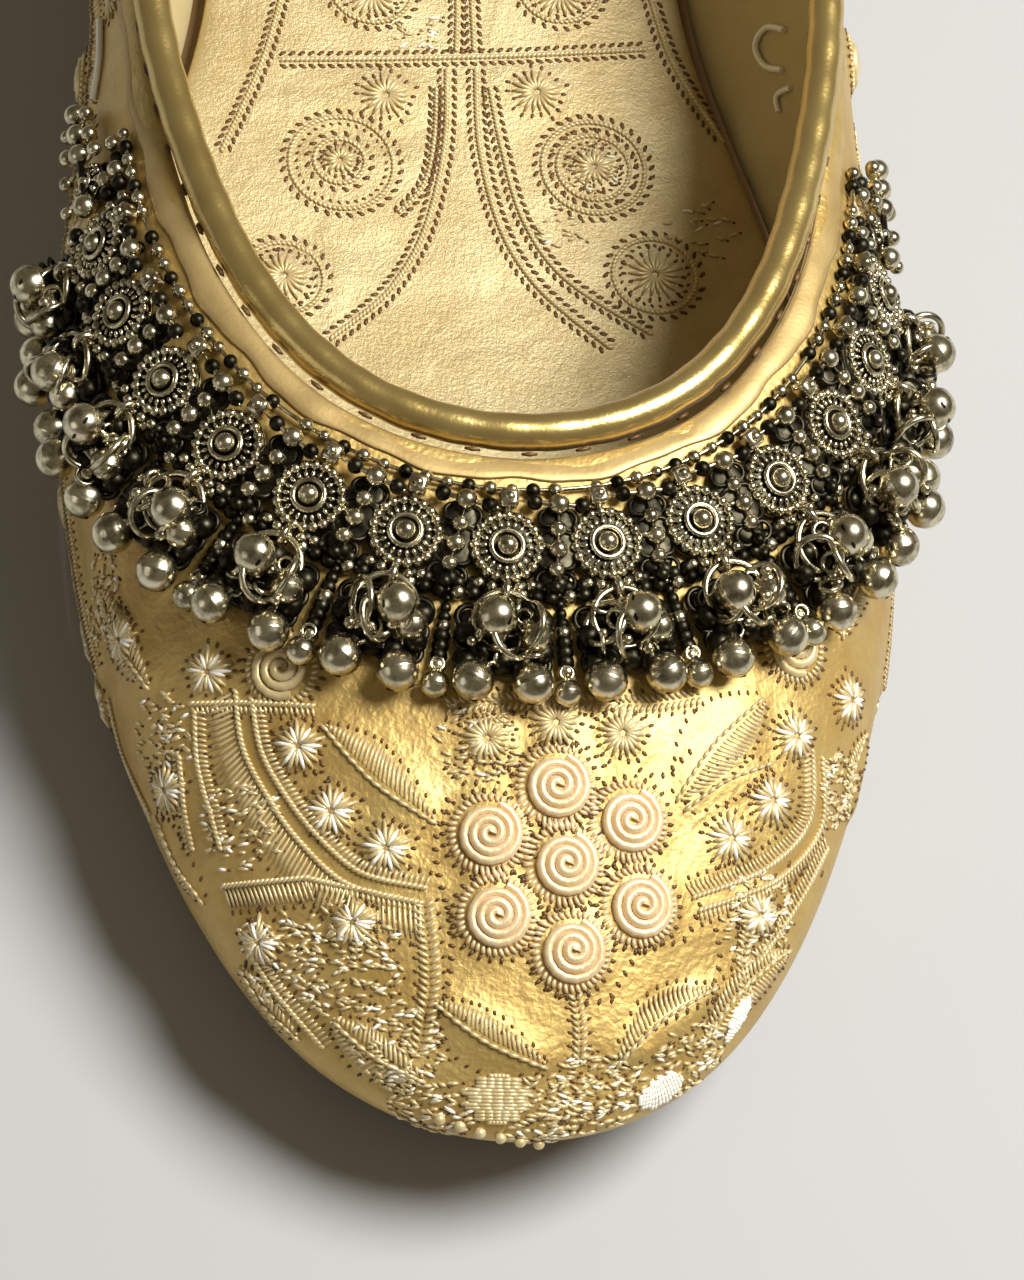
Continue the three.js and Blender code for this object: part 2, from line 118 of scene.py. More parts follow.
def add(tree, kind, settings, links):
    """A node of a kind, with its settings and its incoming links."""
    node = tree.nodes.new(kind)
    for key, value in settings.items():
        if isinstance(key, int) or key in node.inputs:
            node.inputs[key].default_value = value
        else:
            setattr(node, key, value)
    for key, socket in links.items():
        tree.links.new(socket, node.inputs[key])
    return node


def start(name, settings):
    """A new material, its tree and its shader with some settings."""
    material = bpy.data.materials.new(name)
    material.use_nodes = True
    shader = material.node_tree.nodes["Principled BSDF"]
    for key, value in settings.items():
        shader.inputs[key.replace("_", " ")].default_value = value
    return material, material.node_tree, shader


def surface(name, dark, light, clouds, bumps, span=None, gloss=None, follows=None, **settings):
    """A material with clouds between two colours and bumps, the broadest bump first.

    A pattern is a texture, its size in mm and its settings. A bump is a strength, a depth in mm and one
    pattern, or several multiplied. The span stretches the clouds. The gloss runs between two roughnesses with
    the clouds, or with the pattern it follows.
    """
    material, tree, shader = start(name, settings)
    place = add(tree, "ShaderNodeTexCoord", {}, {}).outputs["Object"]

    def value(texture, size, more):
        """The value of a pattern."""
        node = add(tree, "ShaderNodeTex" + texture, {"Scale": 1 / MM / size, **more}, {"Vector": place})
        return node.outputs[PATTERN_VALUE[texture]]

    cloud = share = value(*clouds)
    if span:
        stretch = {"From Min": span[0], "From Max": span[1]}
        share = add(tree, "ShaderNodeMapRange", stretch, {"Value": cloud}).outputs["Result"]
    colours = {"data_type": "RGBA", MIX_A: linear(dark), MIX_B: linear(light)}
    colour = add(tree, "ShaderNodeMix", colours, {"Factor": share})
    tree.links.new(colour.outputs[MIX_COLOUR], shader.inputs["Base Color"])
    if gloss:
        ends = {"To Min": gloss[0], "To Max": gloss[1]}
        source = value(*follows) if follows else cloud
        rough = add(tree, "ShaderNodeMapRange", ends, {"Value": source})
        tree.links.new(rough.outputs["Result"], shader.inputs["Roughness"])
    below = {}
    for strength, depth, first, *others in bumps:
        height = value(*first)
        for other in others:
            factors = {0: height, 1: value(*other)}
            height = add(tree, "ShaderNodeMath", {"operation": "MULTIPLY"}, factors).outputs["Value"]
        shape = {"Strength": strength, "Distance": depth * MM}
        below = {"Normal": add(tree, "ShaderNodeBump", shape, {"Height": height, **below}).outputs["Normal"]}
    tree.links.new(below["Normal"], shader.inputs["Normal"])
    return material


# %% [markdown]
# The upper is goatskin with a gold foil pressed on: soft, thin and wrinkled like a glove, bright where it
# is stretched and browner where the foil is thin. Grain cells on such skin are about 0.6 mm, and the fine
# wrinkles lie a millimetre or so apart. The sock inside is a paler, smoother foil leather, creased like
# paper. The piping is gold satin over a cord, the lining a plain woven cotton, and the threads are
# metallised rayon and silk.
#
# The trim is cast white metal with a dark patina: bright and a little warm on every bead that rubs, and
# nearly black in the hollows, where nothing has rubbed the patina off. Two finishes do it, one for each
# kind of place. The dark finish is also painted shade, on the plates, mats and beads laid under and
# between the castings where their shadow falls.

# %% Materials
WAVE_BANDS = 20
YARNS = [("Wave", 1.1 * WAVE_BANDS, {"bands_direction": way, "Distortion": 0.6}) for way in "YZ"]
CREASE_PATTERN = ("Noise", 9, {"Detail": 4, "Distortion": 0.6})

# Goatskin with gold foil, wrinkled and grained: metallic, with soft broad highlights and browner worn clouds.
LEATHER = surface("foiled goatskin", "#a2782b", "#d2b872", ("Noise", 9, {"Detail": 7, "Roughness": 0.65}),
                  [(0.6, 0.3, ("Noise", 1.2, {"Detail": 4, "Distortion": 0.4})),
                   (0.3, 0.12, ("Voronoi", 0.6, {"Randomness": 0.9}))],
                  span=(0.05, 0.85), gloss=(0.58, 0.4), Metallic=0.62, Coat_Weight=0.28, Coat_Roughness=0.45)
# Foil sock leather, rolled smooth and creased in wear: paler and flatter in shine than the upper.
FOIL = surface("foil sock leather", "#aa8f58", "#d0c092", ("Noise", 12, {"Detail": 7, "Roughness": 0.7}),
               [(0.3, 1.2, CREASE_PATTERN), (0.6, 0.22, ("Noise", 0.5, {"Detail": 3, "Roughness": 0.8}))],
               span=(0.15, 0.75), gloss=(0.52, 0.42), follows=CREASE_PATTERN,
               Metallic=0.66, Coat_Weight=0.15, Coat_Roughness=0.3)
# Plain woven cotton with a gold backing that shows through: matt, with a coarse weave in both directions.
LINING = surface("woven cotton lining", "#a9935a", "#d0c194", ("Noise", 14, {"Detail": 4}),
                 [(0.5, 0.2, *YARNS)], Roughness=0.75, Sheen_Weight=0.2, Metallic=0.15)
# Vegetable tanned sole leather, burnished: brown, cloudy and faintly polished.
SOLE = surface("vegetable tanned leather", "#6c4a26", "#a4824c", ("Noise", 20, {"Detail": 6}),
               [(0.3, 0.12, ("Voronoi", 0.9, {}))], gloss=(0.42, 0.62), Coat_Weight=0.15, Coat_Roughness=0.4)


def satin(name, dark, light, metallic, rough):
    """Gold satin, woven tight: a long highlight over a fine weave."""
    weave = ("Noise", 0.45, {"Detail": 1})
    return surface(name, dark, light, ("Noise", 5, {"Detail": 5}), [(0.25, 0.1, weave)], Metallic=metallic,
                   Roughness=rough, Sheen_Weight=0.1, Coat_Weight=0.15, Coat_Roughness=0.25)


def thread(name, dark, light, metallic, sheen=0.3):
    """Twisted thread: a soft shine broken up by the twist."""
    twist = ("Noise", 0.35, {"Detail": 1})
    return surface(name, dark, light, ("Noise", 2.5, {"Detail": 3}), [(0.3, 0.1, twist)], Metallic=metallic,
                   Roughness=0.42, Sheen_Weight=sheen)


def white_metal(name, dark, light, rough):
    """Cast white metal, cloudy with patina between two colours."""
    clouds = ("Noise", 1.8, {"Detail": 4, "Roughness": 0.65})
    return surface(name, dark, light, clouds, [(0.12, 0.1, clouds)], span=(0.36, 0.58),
                   gloss=(rough * 1.6, rough), Metallic=1.0)


SATIN = satin("gold satin", "#b0924a", "#dcc27c", 0.85, 0.27)
RAW_SATIN = satin("raw edge satin", "#94733a", "#d6bd80", 0.6, 0.5)
THREADS = [
    thread("pale gold rayon", "#bb9c58", "#ebdcae", 0.35),
    thread("rose gold rayon", "#d8b47c", "#f0dab0", 0.3),
    thread("needle hole", "#3e270b", "#74501f", 0.0, sheen=0.0),
    thread("white silk", "#eee6cd", "#fffaf0", 0.0),
]
PALE, ROSY, HOLE, SILK = range(len(THREADS))
# Rubbed metal, and dark metal: patina in the castings' hollows, and painted shade where dark pieces are laid
# under the trim.
METALS = [white_metal("rubbed white metal", "#8a8068", "#dcd2b4", 0.19),
          white_metal("white metal patina and painted shade", "#15130d", "#3b372b", 0.3)]
RUBBED, DARK = range(len(METALS))
print("materials", len(bpy.data.materials))

# %% [markdown]
# Every piece is finished the same way: it gets its materials and the body it moves with, and the CAD
# nodes it stands for are hidden. Small repeated things, such as stitches and beads, are one shape made
# with mesh operators and then laid out many times in arrays, which is quick and keeps them one piece.

# %% Piece helpers
MERGE = 1e-7


def piece(name, mesh, materials, slot, body="shoe", replaces=()):
    """A finished piece of the shoe, shaded smooth."""
    obj = bpy.data.objects.new(name, mesh)
    bpy.context.scene.collection.objects.link(obj)
    for material in materials:
        mesh.materials.append(material)
    mesh.polygons.foreach_set("use_smooth", [True] * len(mesh.polygons))
    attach(obj, body)
    if replaces:
        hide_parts(*replaces)
    print(name, len(mesh.polygons), "faces")
    return obj


def mesh_from(bm, name):
    """A mesh of a bmesh, with its faces turned outwards."""
    bmesh.ops.recalc_face_normals(bm, faces=bm.faces)
    mesh = bpy.data.meshes.new(name)
    bm.to_mesh(mesh)
    bm.free()
    return mesh


def triples(items, name):
    """A three-part value of all the points or faces of a mesh, as rows of an array."""
    found = np.empty(len(items) * 3)
    items.foreach_get(name, found)
    return found.reshape(-1, 3)


def arrays(mesh):
    """A mesh's points, and its faces as lists of point numbers."""
    return triples(mesh.vertices, "co"), [list(polygon.vertices) for polygon in mesh.polygons]


def laid_out(name, copies):
    """One mesh of many copies. Each copy is a mesh, a matrix and a material number."""
    points, faces, numbers, known = [], [], [], {}
    count = 0
    for mesh, matrix, number in copies:
        if mesh.name not in known:
            known[mesh.name] = arrays(mesh)
        base, polygons = known[mesh.name]
        points.append(base @ np.array(matrix.to_3x3()).T + np.array(matrix.translation))
        faces.extend([count + v for v in polygon] for polygon in polygons)
        numbers.extend([number] * len(polygons))
        count += len(base)
    joined = bpy.data.meshes.new(name)
    joined.from_pydata(np.concatenate(points).tolist(), [], faces)
    joined.polygons.foreach_set("material_index", numbers)
    joined.update()
    return joined


def ball(name, subdivisions):
    """A round bead of radius 1."""
    bm = bmesh.new()
    bmesh.ops.create_icosphere(bm, subdivisions=subdivisions, radius=1)
    return mesh_from(bm, name)


def spun(bm, name, steps):
    """A shape spun round the z axis from the outline in a bmesh."""
    outline = bm.verts[:] + bm.edges[:]
    bmesh.ops.spin(bm, geom=outline, axis=UP, cent=(0, 0, 0), steps=steps, angle=tau, use_merge=True)
    bmesh.ops.remove_doubles(bm, verts=bm.verts, dist=MERGE)
    return mesh_from(bm, name)


def turned(name, profile, steps):
    """A shape turned on the z axis from a profile of radius and height."""
    bm = bmesh.new()
    points = [bm.verts.new((radius, 0, height)) for radius, height in profile]
    for pair in zip(points, points[1:]):
        bm.edges.new(pair)
    return spun(bm, name, steps)


def ring(name, radius, wire_radius, steps, sides):
    """A closed wire ring about the z axis."""
    bm = bmesh.new()
    made = bmesh.ops.create_circle(bm, segments=sides, radius=wire_radius)["verts"]
    bmesh.ops.rotate(bm, verts=made, cent=(0, 0, 0), matrix=Matrix.Rotation(pi / 2, 3, "X"))
    bmesh.ops.translate(bm, verts=made, vec=(radius, 0, 0))
    return spun(bm, name, steps)


def tube(name, line, radius, roundness=1, swell=None):
    """A round thread or wire along a line of points. With a swell, one factor a point, the line is closed."""
    curve = bpy.data.curves.new(name, "CURVE")
    curve.dimensions = "3D"
    curve.bevel_depth = radius
    curve.bevel_resolution = roundness
    curve.use_fill_caps = not swell
    spline = curve.splines.new("POLY")
    spline.points.add(len(line) - 1)
    for point, place, factor in zip(spline.points, line, swell or [1] * len(line)):
        point.co = (*place, 1)
        point.radius = factor
    spline.use_cyclic_u = bool(swell)
    holder = bpy.data.objects.new(name, curve)
    mesh = bpy.data.meshes.new_from_object(holder)
    bpy.data.objects.remove(holder)
    mesh.materials.clear()
    return mesh


def rounded(obj, levels):
    """Gives an object a subdivision surface."""
    rounding = obj.modifiers.new("round", "SUBSURF")
    rounding.levels = rounding.render_levels = levels


# %% [markdown]
# A soft CAD solid is flat facets, so its copy is merged, its triangles are paired back into quads, and a
# subdivision surface rounds it. The result is frozen, because the leather's relief is then raised in it.

# %% Smooth copies
WELD = 0.01 * MM


def smooth_copy(node, levels):
    """A rounded copy of a CAD node's mesh."""
    bm = bmesh.new()
    bm.from_mesh(frame["nodes"][node].data)
    bmesh.ops.remove_doubles(bm, verts=bm.verts, dist=WELD)
    bmesh.ops.join_triangles(bm, faces=bm.faces, angle_face_threshold=pi, angle_shape_threshold=pi)
    print(node, "quads", sum(len(face.verts) == 4 for face in bm.faces), "of", len(bm.faces))
    holder = bpy.data.objects.new(node, mesh_from(bm, node + "_smooth"))
    bpy.context.scene.collection.objects.link(holder)
    rounded(holder, levels)
    done = bpy.data.meshes.new_from_object(holder.evaluated_get(bpy.context.evaluated_depsgraph_get()))
    bpy.data.objects.remove(holder)
    done.materials.clear()
    return done


upper_mesh = smooth_copy("upper", 3)
insole_mesh = smooth_copy("insole", 3)

# %% [markdown]
# A ground is a surface that stitches lie on. It can be looked up in three ways: through the camera at a
# pixel, by the nearest point, and, on the quarters and the heel, which the camera doesn't see, by a
# distance round the shoe and a height, with a level ray from outside.

# %% Grounds
FOOT = {"front": -75 * MM, "back": 95 * MM, "height": 20 * MM}
QUARTER = {"front": -34 * MM, "back": 90 * MM, "radius": 31 * MM}
OUTSIDE = 200 * MM
STRAIGHT = QUARTER["back"] - QUARTER["front"]
BEND = pi * QUARTER["radius"]
WALL_ROUND = (2 * STRAIGHT + BEND) / MM


def looks_out(places, normals):
    """Whether each normal looks out of the shoe, away from the middle line of the foot."""
    middle = np.zeros_like(places)
    middle[:, 1] = np.clip(places[:, 1], FOOT["front"], FOOT["back"])
    middle[:, 2] = FOOT["height"]
    return np.einsum("ij,ij->i", normals, places - middle) > 0


def outer_faces(mesh):
    """Whether each face of a mesh looks out of the shoe."""
    return looks_out(triples(mesh.polygons, "center"), triples(mesh.polygons, "normal"))


def wall_ray(at):
    """A point outside the shoe and the level way in, at a distance round it and a height."""
    distance, height = at[0] * MM, at[1] * MM
    if distance < STRAIGHT:
        middle, way = Vector((0, QUARTER["front"] + distance, height)), Vector((1, 0, 0))
    elif distance < STRAIGHT + BEND:
        angle = (distance - STRAIGHT) / QUARTER["radius"]
        middle, way = Vector((0, QUARTER["back"], height)), Vector((cos(angle), sin(angle), 0))
    else:
        middle, way = Vector((0, QUARTER["back"] - (distance - STRAIGHT - BEND), height)), Vector((-1, 0, 0))
    return middle + way * OUTSIDE, -way


class Ground:
    """A surface that stitches lie on. A place on it comes with its normal."""

    def __init__(self, mesh, outer_only=False):
        points, faces = arrays(mesh)
        if outer_only:
            faces = [face for face, outer in zip(faces, outer_faces(mesh)) if outer]
        self.tree = BVHTree.FromPolygons(points.tolist(), faces)

    def seen(self, pixel):
        """The place that the camera sees at a pixel, or None."""
        place, normal, _, _ = self.tree.ray_cast(eye, pixel_ray(pixel))
        return (place, normal) if place else None

    def beside(self, at):
        """The place on the quarters at a distance round them and a height, both in mm."""
        return self.tree.ray_cast(*wall_ray(at))[:2]

    def near(self, point):
        """The place nearest to a point."""
        return self.tree.find_nearest(point)[:2]


print("way round the quarters", round(WALL_ROUND), "mm")

# %% [markdown]
# The motifs are machine embroidery, so they stand on small pads of thread and pull the leather in
# between. Places on the vamp are pixels of the picture, looked up through the camera. Roses are coiled
# cord, florets are rays of thread, leaves are ribs with a pricked outline, and bands are combs or
# herringbones of stitches. A leaf is ribbed on one half, as seen from its base, and left smooth on the
# other. Sizes are in mm.

# %% Motif places on the vamp
ROSES = [(558, 785), (490, 833), (632, 820), (567, 863), (497, 915), (643, 905), (574, 950)]
PALE_ROSES = [(281, 668), (797, 645)]
FLORETS = [(298, 746), (331, 811), (386, 848), (623, 733), (797, 736), (773, 800), (732, 838), (487, 738),
           (207, 672), (165, 790), (556, 722), (258, 942), (760, 915), (852, 700), (352, 922), (120, 640)]
# The florets between these two pixels across have no white rays: painted shade under the fringe.
TOE_MIDDLE = (440, 700)
# Base, tip, width, and the half that is ribbed.
LEAVES = [
    ((437, 824), (322, 724), 7.0, "right"),
    ((676, 803), (766, 697), 7.0, "right"),
    ((684, 812), (772, 764), 3.6, "none"),
    ((548, 1068), (432, 1000), 5.6, "right"),
    ((616, 1068), (718, 988), 5.6, "left"),
    ((150, 690), (100, 590), 5.4, "both"),
    ((842, 640), (872, 560), 4.6, "both"),
    ((205, 905), (156, 815), 4.4, "left"),
    ((426, 1082), (330, 1018), 5.4, "both"),
    ((300, 1040), (238, 965), 3.8, "both"),
    ((700, 1050), (790, 950), 4.4, "both"),
    ((848, 820), (866, 735), 3.4, "left"),
]
# The line, and the reach of the fringe to its left, or to its right if below nothing.
COMBS = [
    ([(236, 692), (243, 747), (268, 797), (300, 842), (349, 885), (420, 903)], -4.0),
    ([(252, 700), (262, 752), (286, 796), (316, 834), (360, 872), (424, 888)], 1.4),
    ([(812, 752), (809, 820), (766, 868), (694, 897)], -1.8),
    ([(822, 760), (820, 828), (776, 880), (700, 910)], 1.2),
    ([(224, 886), (262, 882), (306, 878)], -2.6),
    ([(306, 878), (360, 890), (420, 903)], -1.2),
    ([(195, 712), (198, 765), (213, 820), (221, 848)], 1.4),
    ([(180, 757), (185, 808), (193, 848)], -1.2),
    ([(192, 704), (250, 703), (312, 706)], -1.2),
    ([(110, 700), (124, 755), (150, 812)], -2.0),
    ([(240, 930), (272, 988), (322, 1046)], 1.6),
    ([(760, 960), (800, 900), (826, 850)], 1.6),
]
# The line and the width.
HERRINGBONES = [
    ([(424, 908), (430, 980), (418, 1056)], 2.4),
    ([(576, 1000), (580, 1030), (579, 1066)], 1.6),
    ([(452, 706), (540, 700), (640, 704), (700, 696)], 2.2),
    ([(748, 930), (742, 965), (748, 1000)], 1.8),
]
PRICKED_LINES = [
    [(541, 743), (560, 746), (584, 746), (604, 766)],
    [(448, 800), (436, 838), (440, 880), (458, 930), (486, 946)],
    [(612, 1000), (590, 1002), (556, 994), (534, 968)],
    [(612, 996), (626, 972), (646, 946), (684, 940), (700, 905)],
    [(448, 908), (452, 950), (446, 996)],
    [(716, 930), (720, 960), (712, 992)],
    [(789, 864), (806, 868), (822, 874)],
    [(440, 1012), (500, 1030), (545, 1062)],
    [(620, 1062), (652, 1030), (716, 998)],
    [(446, 768), (470, 784), (520, 764)],
    [(640, 770), (662, 776), (690, 752)],
]
# The line, the width and the thread.
SATIN_PATCHES = [
    ([(499, 1076), (497, 1122)], 7.4, PALE),
    ([(726, 1040), (736, 1022), (748, 998)], 2.4, SILK),
    ([(640, 1100), (658, 1094), (680, 1078)], 4.2, SILK),
]
# Beds of strewn stitches: the middle, the radius and the count.
SEEDED = [
    ((345, 960), 6, 90), ((280, 960), 5, 60), ((764, 918), 5, 70), ((600, 1100), 5.5, 90),
    ((545, 1118), 4.5, 60), ((480, 738), 4.5, 40), ((160, 740), 5, 50), ((395, 1050), 5, 60),
    ((430, 1110), 4.5, 60), ((840, 790), 4, 50), ((690, 1060), 4.5, 50), ((240, 830), 5, 50),
    ((100, 600), 5, 50),
]
SEED_DENSITY = 1.5
# The line and the thread's radius.
LOOSE_THREADS = [
    ([(103, 20), (102, 60), (96, 100)], 0.42),
    ([(786, 30), (768, 28), (757, 46), (766, 66), (784, 70)], 0.4),
    ([(792, 88), (778, 96), (780, 112)], 0.35),
]
KNOT_LINE = [(440, 1118), (500, 1136), (560, 1142), (620, 1132), (668, 1110)]
CREASES = [
    [(232, 900), (300, 928), (352, 902)],
    [(208, 640), (222, 700), (214, 760)],
    [(660, 1010), (700, 968), (742, 952)],
    [(842, 812), (800, 870), (770, 940)],
    [(560, 1085), (600, 1075), (650, 1060)],
]
print("roses", len(ROSES), "florets", len(FLORETS), "leaves", len(LEAVES))

# %% [markdown]
# The same motifs run round the quarters and the heel, where the picture can't be followed: a wavy stem
# with a rose in each bend, leaves and a floret beside it, and a herringbone border above the sole. Ahead
# of it on each side a spray of florets and one rose runs forward on a stem. Places are a distance round
# and a height.

# %% Motif places on the quarters
WAVES = 7
WAVE_HEIGHT = 5
STEM_LOW, STEM_HIGH = 23, 28
STEM_SAMPLES = 113
ROSE_AWAY = 9.5
SPRAY = {"stem": [(0, 23), (-7, 18), (-18, 15.5), (-36, 15)], "rose": [(-12.5, 10)],
         "florets": [(-3.5, 12.5), (-22, 10), (-30, 10.5), (-38, 11)]}
SPRAY_SAMPLES = 25


def stem_height(distance):
    """The height of the wavy stem at a distance round the quarters. It climbs with the collar to the heel."""
    climb = sin(pi * distance / WALL_ROUND)
    wave = sin(2 * pi * WAVES * distance / WALL_ROUND)
    return STEM_LOW + (STEM_HIGH - STEM_LOW) * climb + WAVE_HEIGHT * wave


def other_side(places):
    """The same places on the other side of the shoe."""
    return [(WALL_ROUND - at, height) for at, height in places]


bends = [(WALL_ROUND * (i + 0.5) / (2 * WAVES), -1 if i % 2 else 1) for i in range(2 * WAVES)]
stem_points = [(at, stem_height(at)) for at in np.linspace(0, WALL_ROUND, STEM_SAMPLES)]
spray_stems = [SPRAY["stem"], other_side(SPRAY["stem"])]
spray_points = [tuple(float(np.interp(share, range(len(stem)), column)) for column in zip(*stem))
                for stem in spray_stems for share in np.linspace(0, len(stem) - 1, SPRAY_SAMPLES)]
wall_roses = [(at, stem_height(at) - ROSE_AWAY * hand) for at, hand in bends]
wall_roses += SPRAY["rose"] + other_side(SPRAY["rose"])
wall_florets = SPRAY["florets"] + other_side(SPRAY["florets"])
print("roses on the quarters", len(wall_roses))

# %% [markdown]
# The relief is raised in the smooth mesh itself: each motif's pad is a soft dome, and creases are soft
# troughs along lines. Only the outer face moves, so the wall keeps its inside. A point is outside if its
# normal points away from the middle of the foot.

# %% Relief
LEAF_PAD = {"samples": np.linspace(0.15, 0.85, 8), "radius": 0.62, "height": 0.6}


def smooth_line(corners, steps=14):
    """A smooth line of 2D points through its corners."""
    ends = [corners[0], *corners, corners[-1]]
    line = []
    for knots in zip(ends, ends[1:], ends[2:], ends[3:]):
        for t in np.linspace(0, 1, steps, endpoint=False):
            line.append(tuple(
                (2 * b + (c - a) * t + (2 * a - 5 * b + 4 * c - d) * t**2
                 + (3 * b - a - 3 * c + d) * t**3) / 2
                for a, b, c, d in zip(*knots)))
    return line + [corners[-1]]


def pads_at(find, places, radius, height):
    """A pad of a radius and a height in mm at each place."""
    return [(find(at)[0], radius * MM, height * MM) for at in places]


def creased(find, lines, radius, depth):
    """Pads below the surface, close together along lines."""
    return pads_at(find, [at for line in lines for at in smooth_line(line, 10)], radius, -depth)


def raise_relief(mesh, pads, outer_only=False):
    """Moves a mesh's points along their normals. Each pad has a place, a radius and a height."""
    points, normals = triples(mesh.vertices, "co"), triples(mesh.vertices, "normal")
    lift = np.zeros(len(points))
    for place, radius, height in pads:
        share = np.clip(1 - (np.linalg.norm(points - np.array(place), axis=1) / radius) ** 2, 0, 1)
        bump = height * share ** 1.5
        lift = np.where(np.abs(bump) > np.abs(lift), bump, lift)
    if outer_only:
        lift *= looks_out(points, normals)
    mesh.vertices.foreach_set("co", (points + normals * lift[:, None]).ravel())
    mesh.update()
    print("relief from", round(lift.min() / MM, 2), "to", round(lift.max() / MM, 2), "mm")


smooth_ground = Ground(upper_mesh, outer_only=True)
seen, beside = smooth_ground.seen, smooth_ground.beside
pads = pads_at(seen, ROSES, 4.9, 1.1) + pads_at(seen, PALE_ROSES, 4.9, 0.6) + pads_at(seen, FLORETS, 3.5, 0.6)
for base, tip, width, _ in LEAVES:
    for share in LEAF_PAD["samples"]:
        at = tuple(b + (t - b) * share for b, t in zip(base, tip))
        pads += pads_at(seen, [at], width * LEAF_PAD["radius"] * sin(pi * share) ** 0.5, LEAF_PAD["height"])
pads += creased(seen, CREASES, 3.4, 0.28)
pads += pads_at(beside, wall_roses, 4.6, 1.0)
pads += pads_at(beside, stem_points + spray_points, 2.6, 0.55)
pads += pads_at(beside, wall_florets, 3.2, 0.5)
raise_relief(upper_mesh, pads, outer_only=True)
upper_ground = Ground(upper_mesh)

# %% [markdown]
# Needlework on a ground: every stitch is one grain of thread, a stretched bead half sunk in the leather,
# from where the needle comes up to where it goes down. A dark grain lies where it goes down: the needle
# hole. All the sizes are in mm: a stitch's width and height, and a needle hole's length and width.

# %% Needlework
STITCHES = {"rim": (0.5, 0.5), "ray": (0.5, 0.7), "rib": (0.42, 0.42), "midrib": (0.5, 0.6),
            "rope": (0.52, 0.62), "fringe": (0.38, 0.36), "hoop": (0.5, 0.55), "bone": (0.45, 0.5),
            "satin": (0.6, 0.5), "seed": (0.42, 0.45)}
HOLES = {"rim": (1.05, 0.55), "ray": (0.9, 0.5), "leaf": (0.8, 0.42), "fringe": (0.75, 0.42),
         "braid": (1.25, 0.6), "hoop": (0.7, 0.4), "pricked": (1.0, 0.5), "seed": (0.55, 0.38)}
HOLE_HEIGHT = 0.16
SHORTEST_STITCH = 0.1
CORD_RADIUS = 0.52
ROPE_SLANT = (0.75, 0.5)
HOOP_WIDTH = 1.1
SATIN_GRAINS = {"starts": (-1, -0.68, -0.36, -0.04, 0.28), "length": 0.7}
KNOT_RADIUS = 0.62
GRAIN = ball("grain", 1)
KNOT = ball("knot", 2)
pit_bm = bmesh.new()
bmesh.ops.create_uvsphere(pit_bm, u_segments=5, v_segments=3, radius=1)
PIT = mesh_from(pit_bm, "pit")


def angles(count):
    """Angles evenly spaced round a circle."""
    return [tau * i / count for i in range(count)]


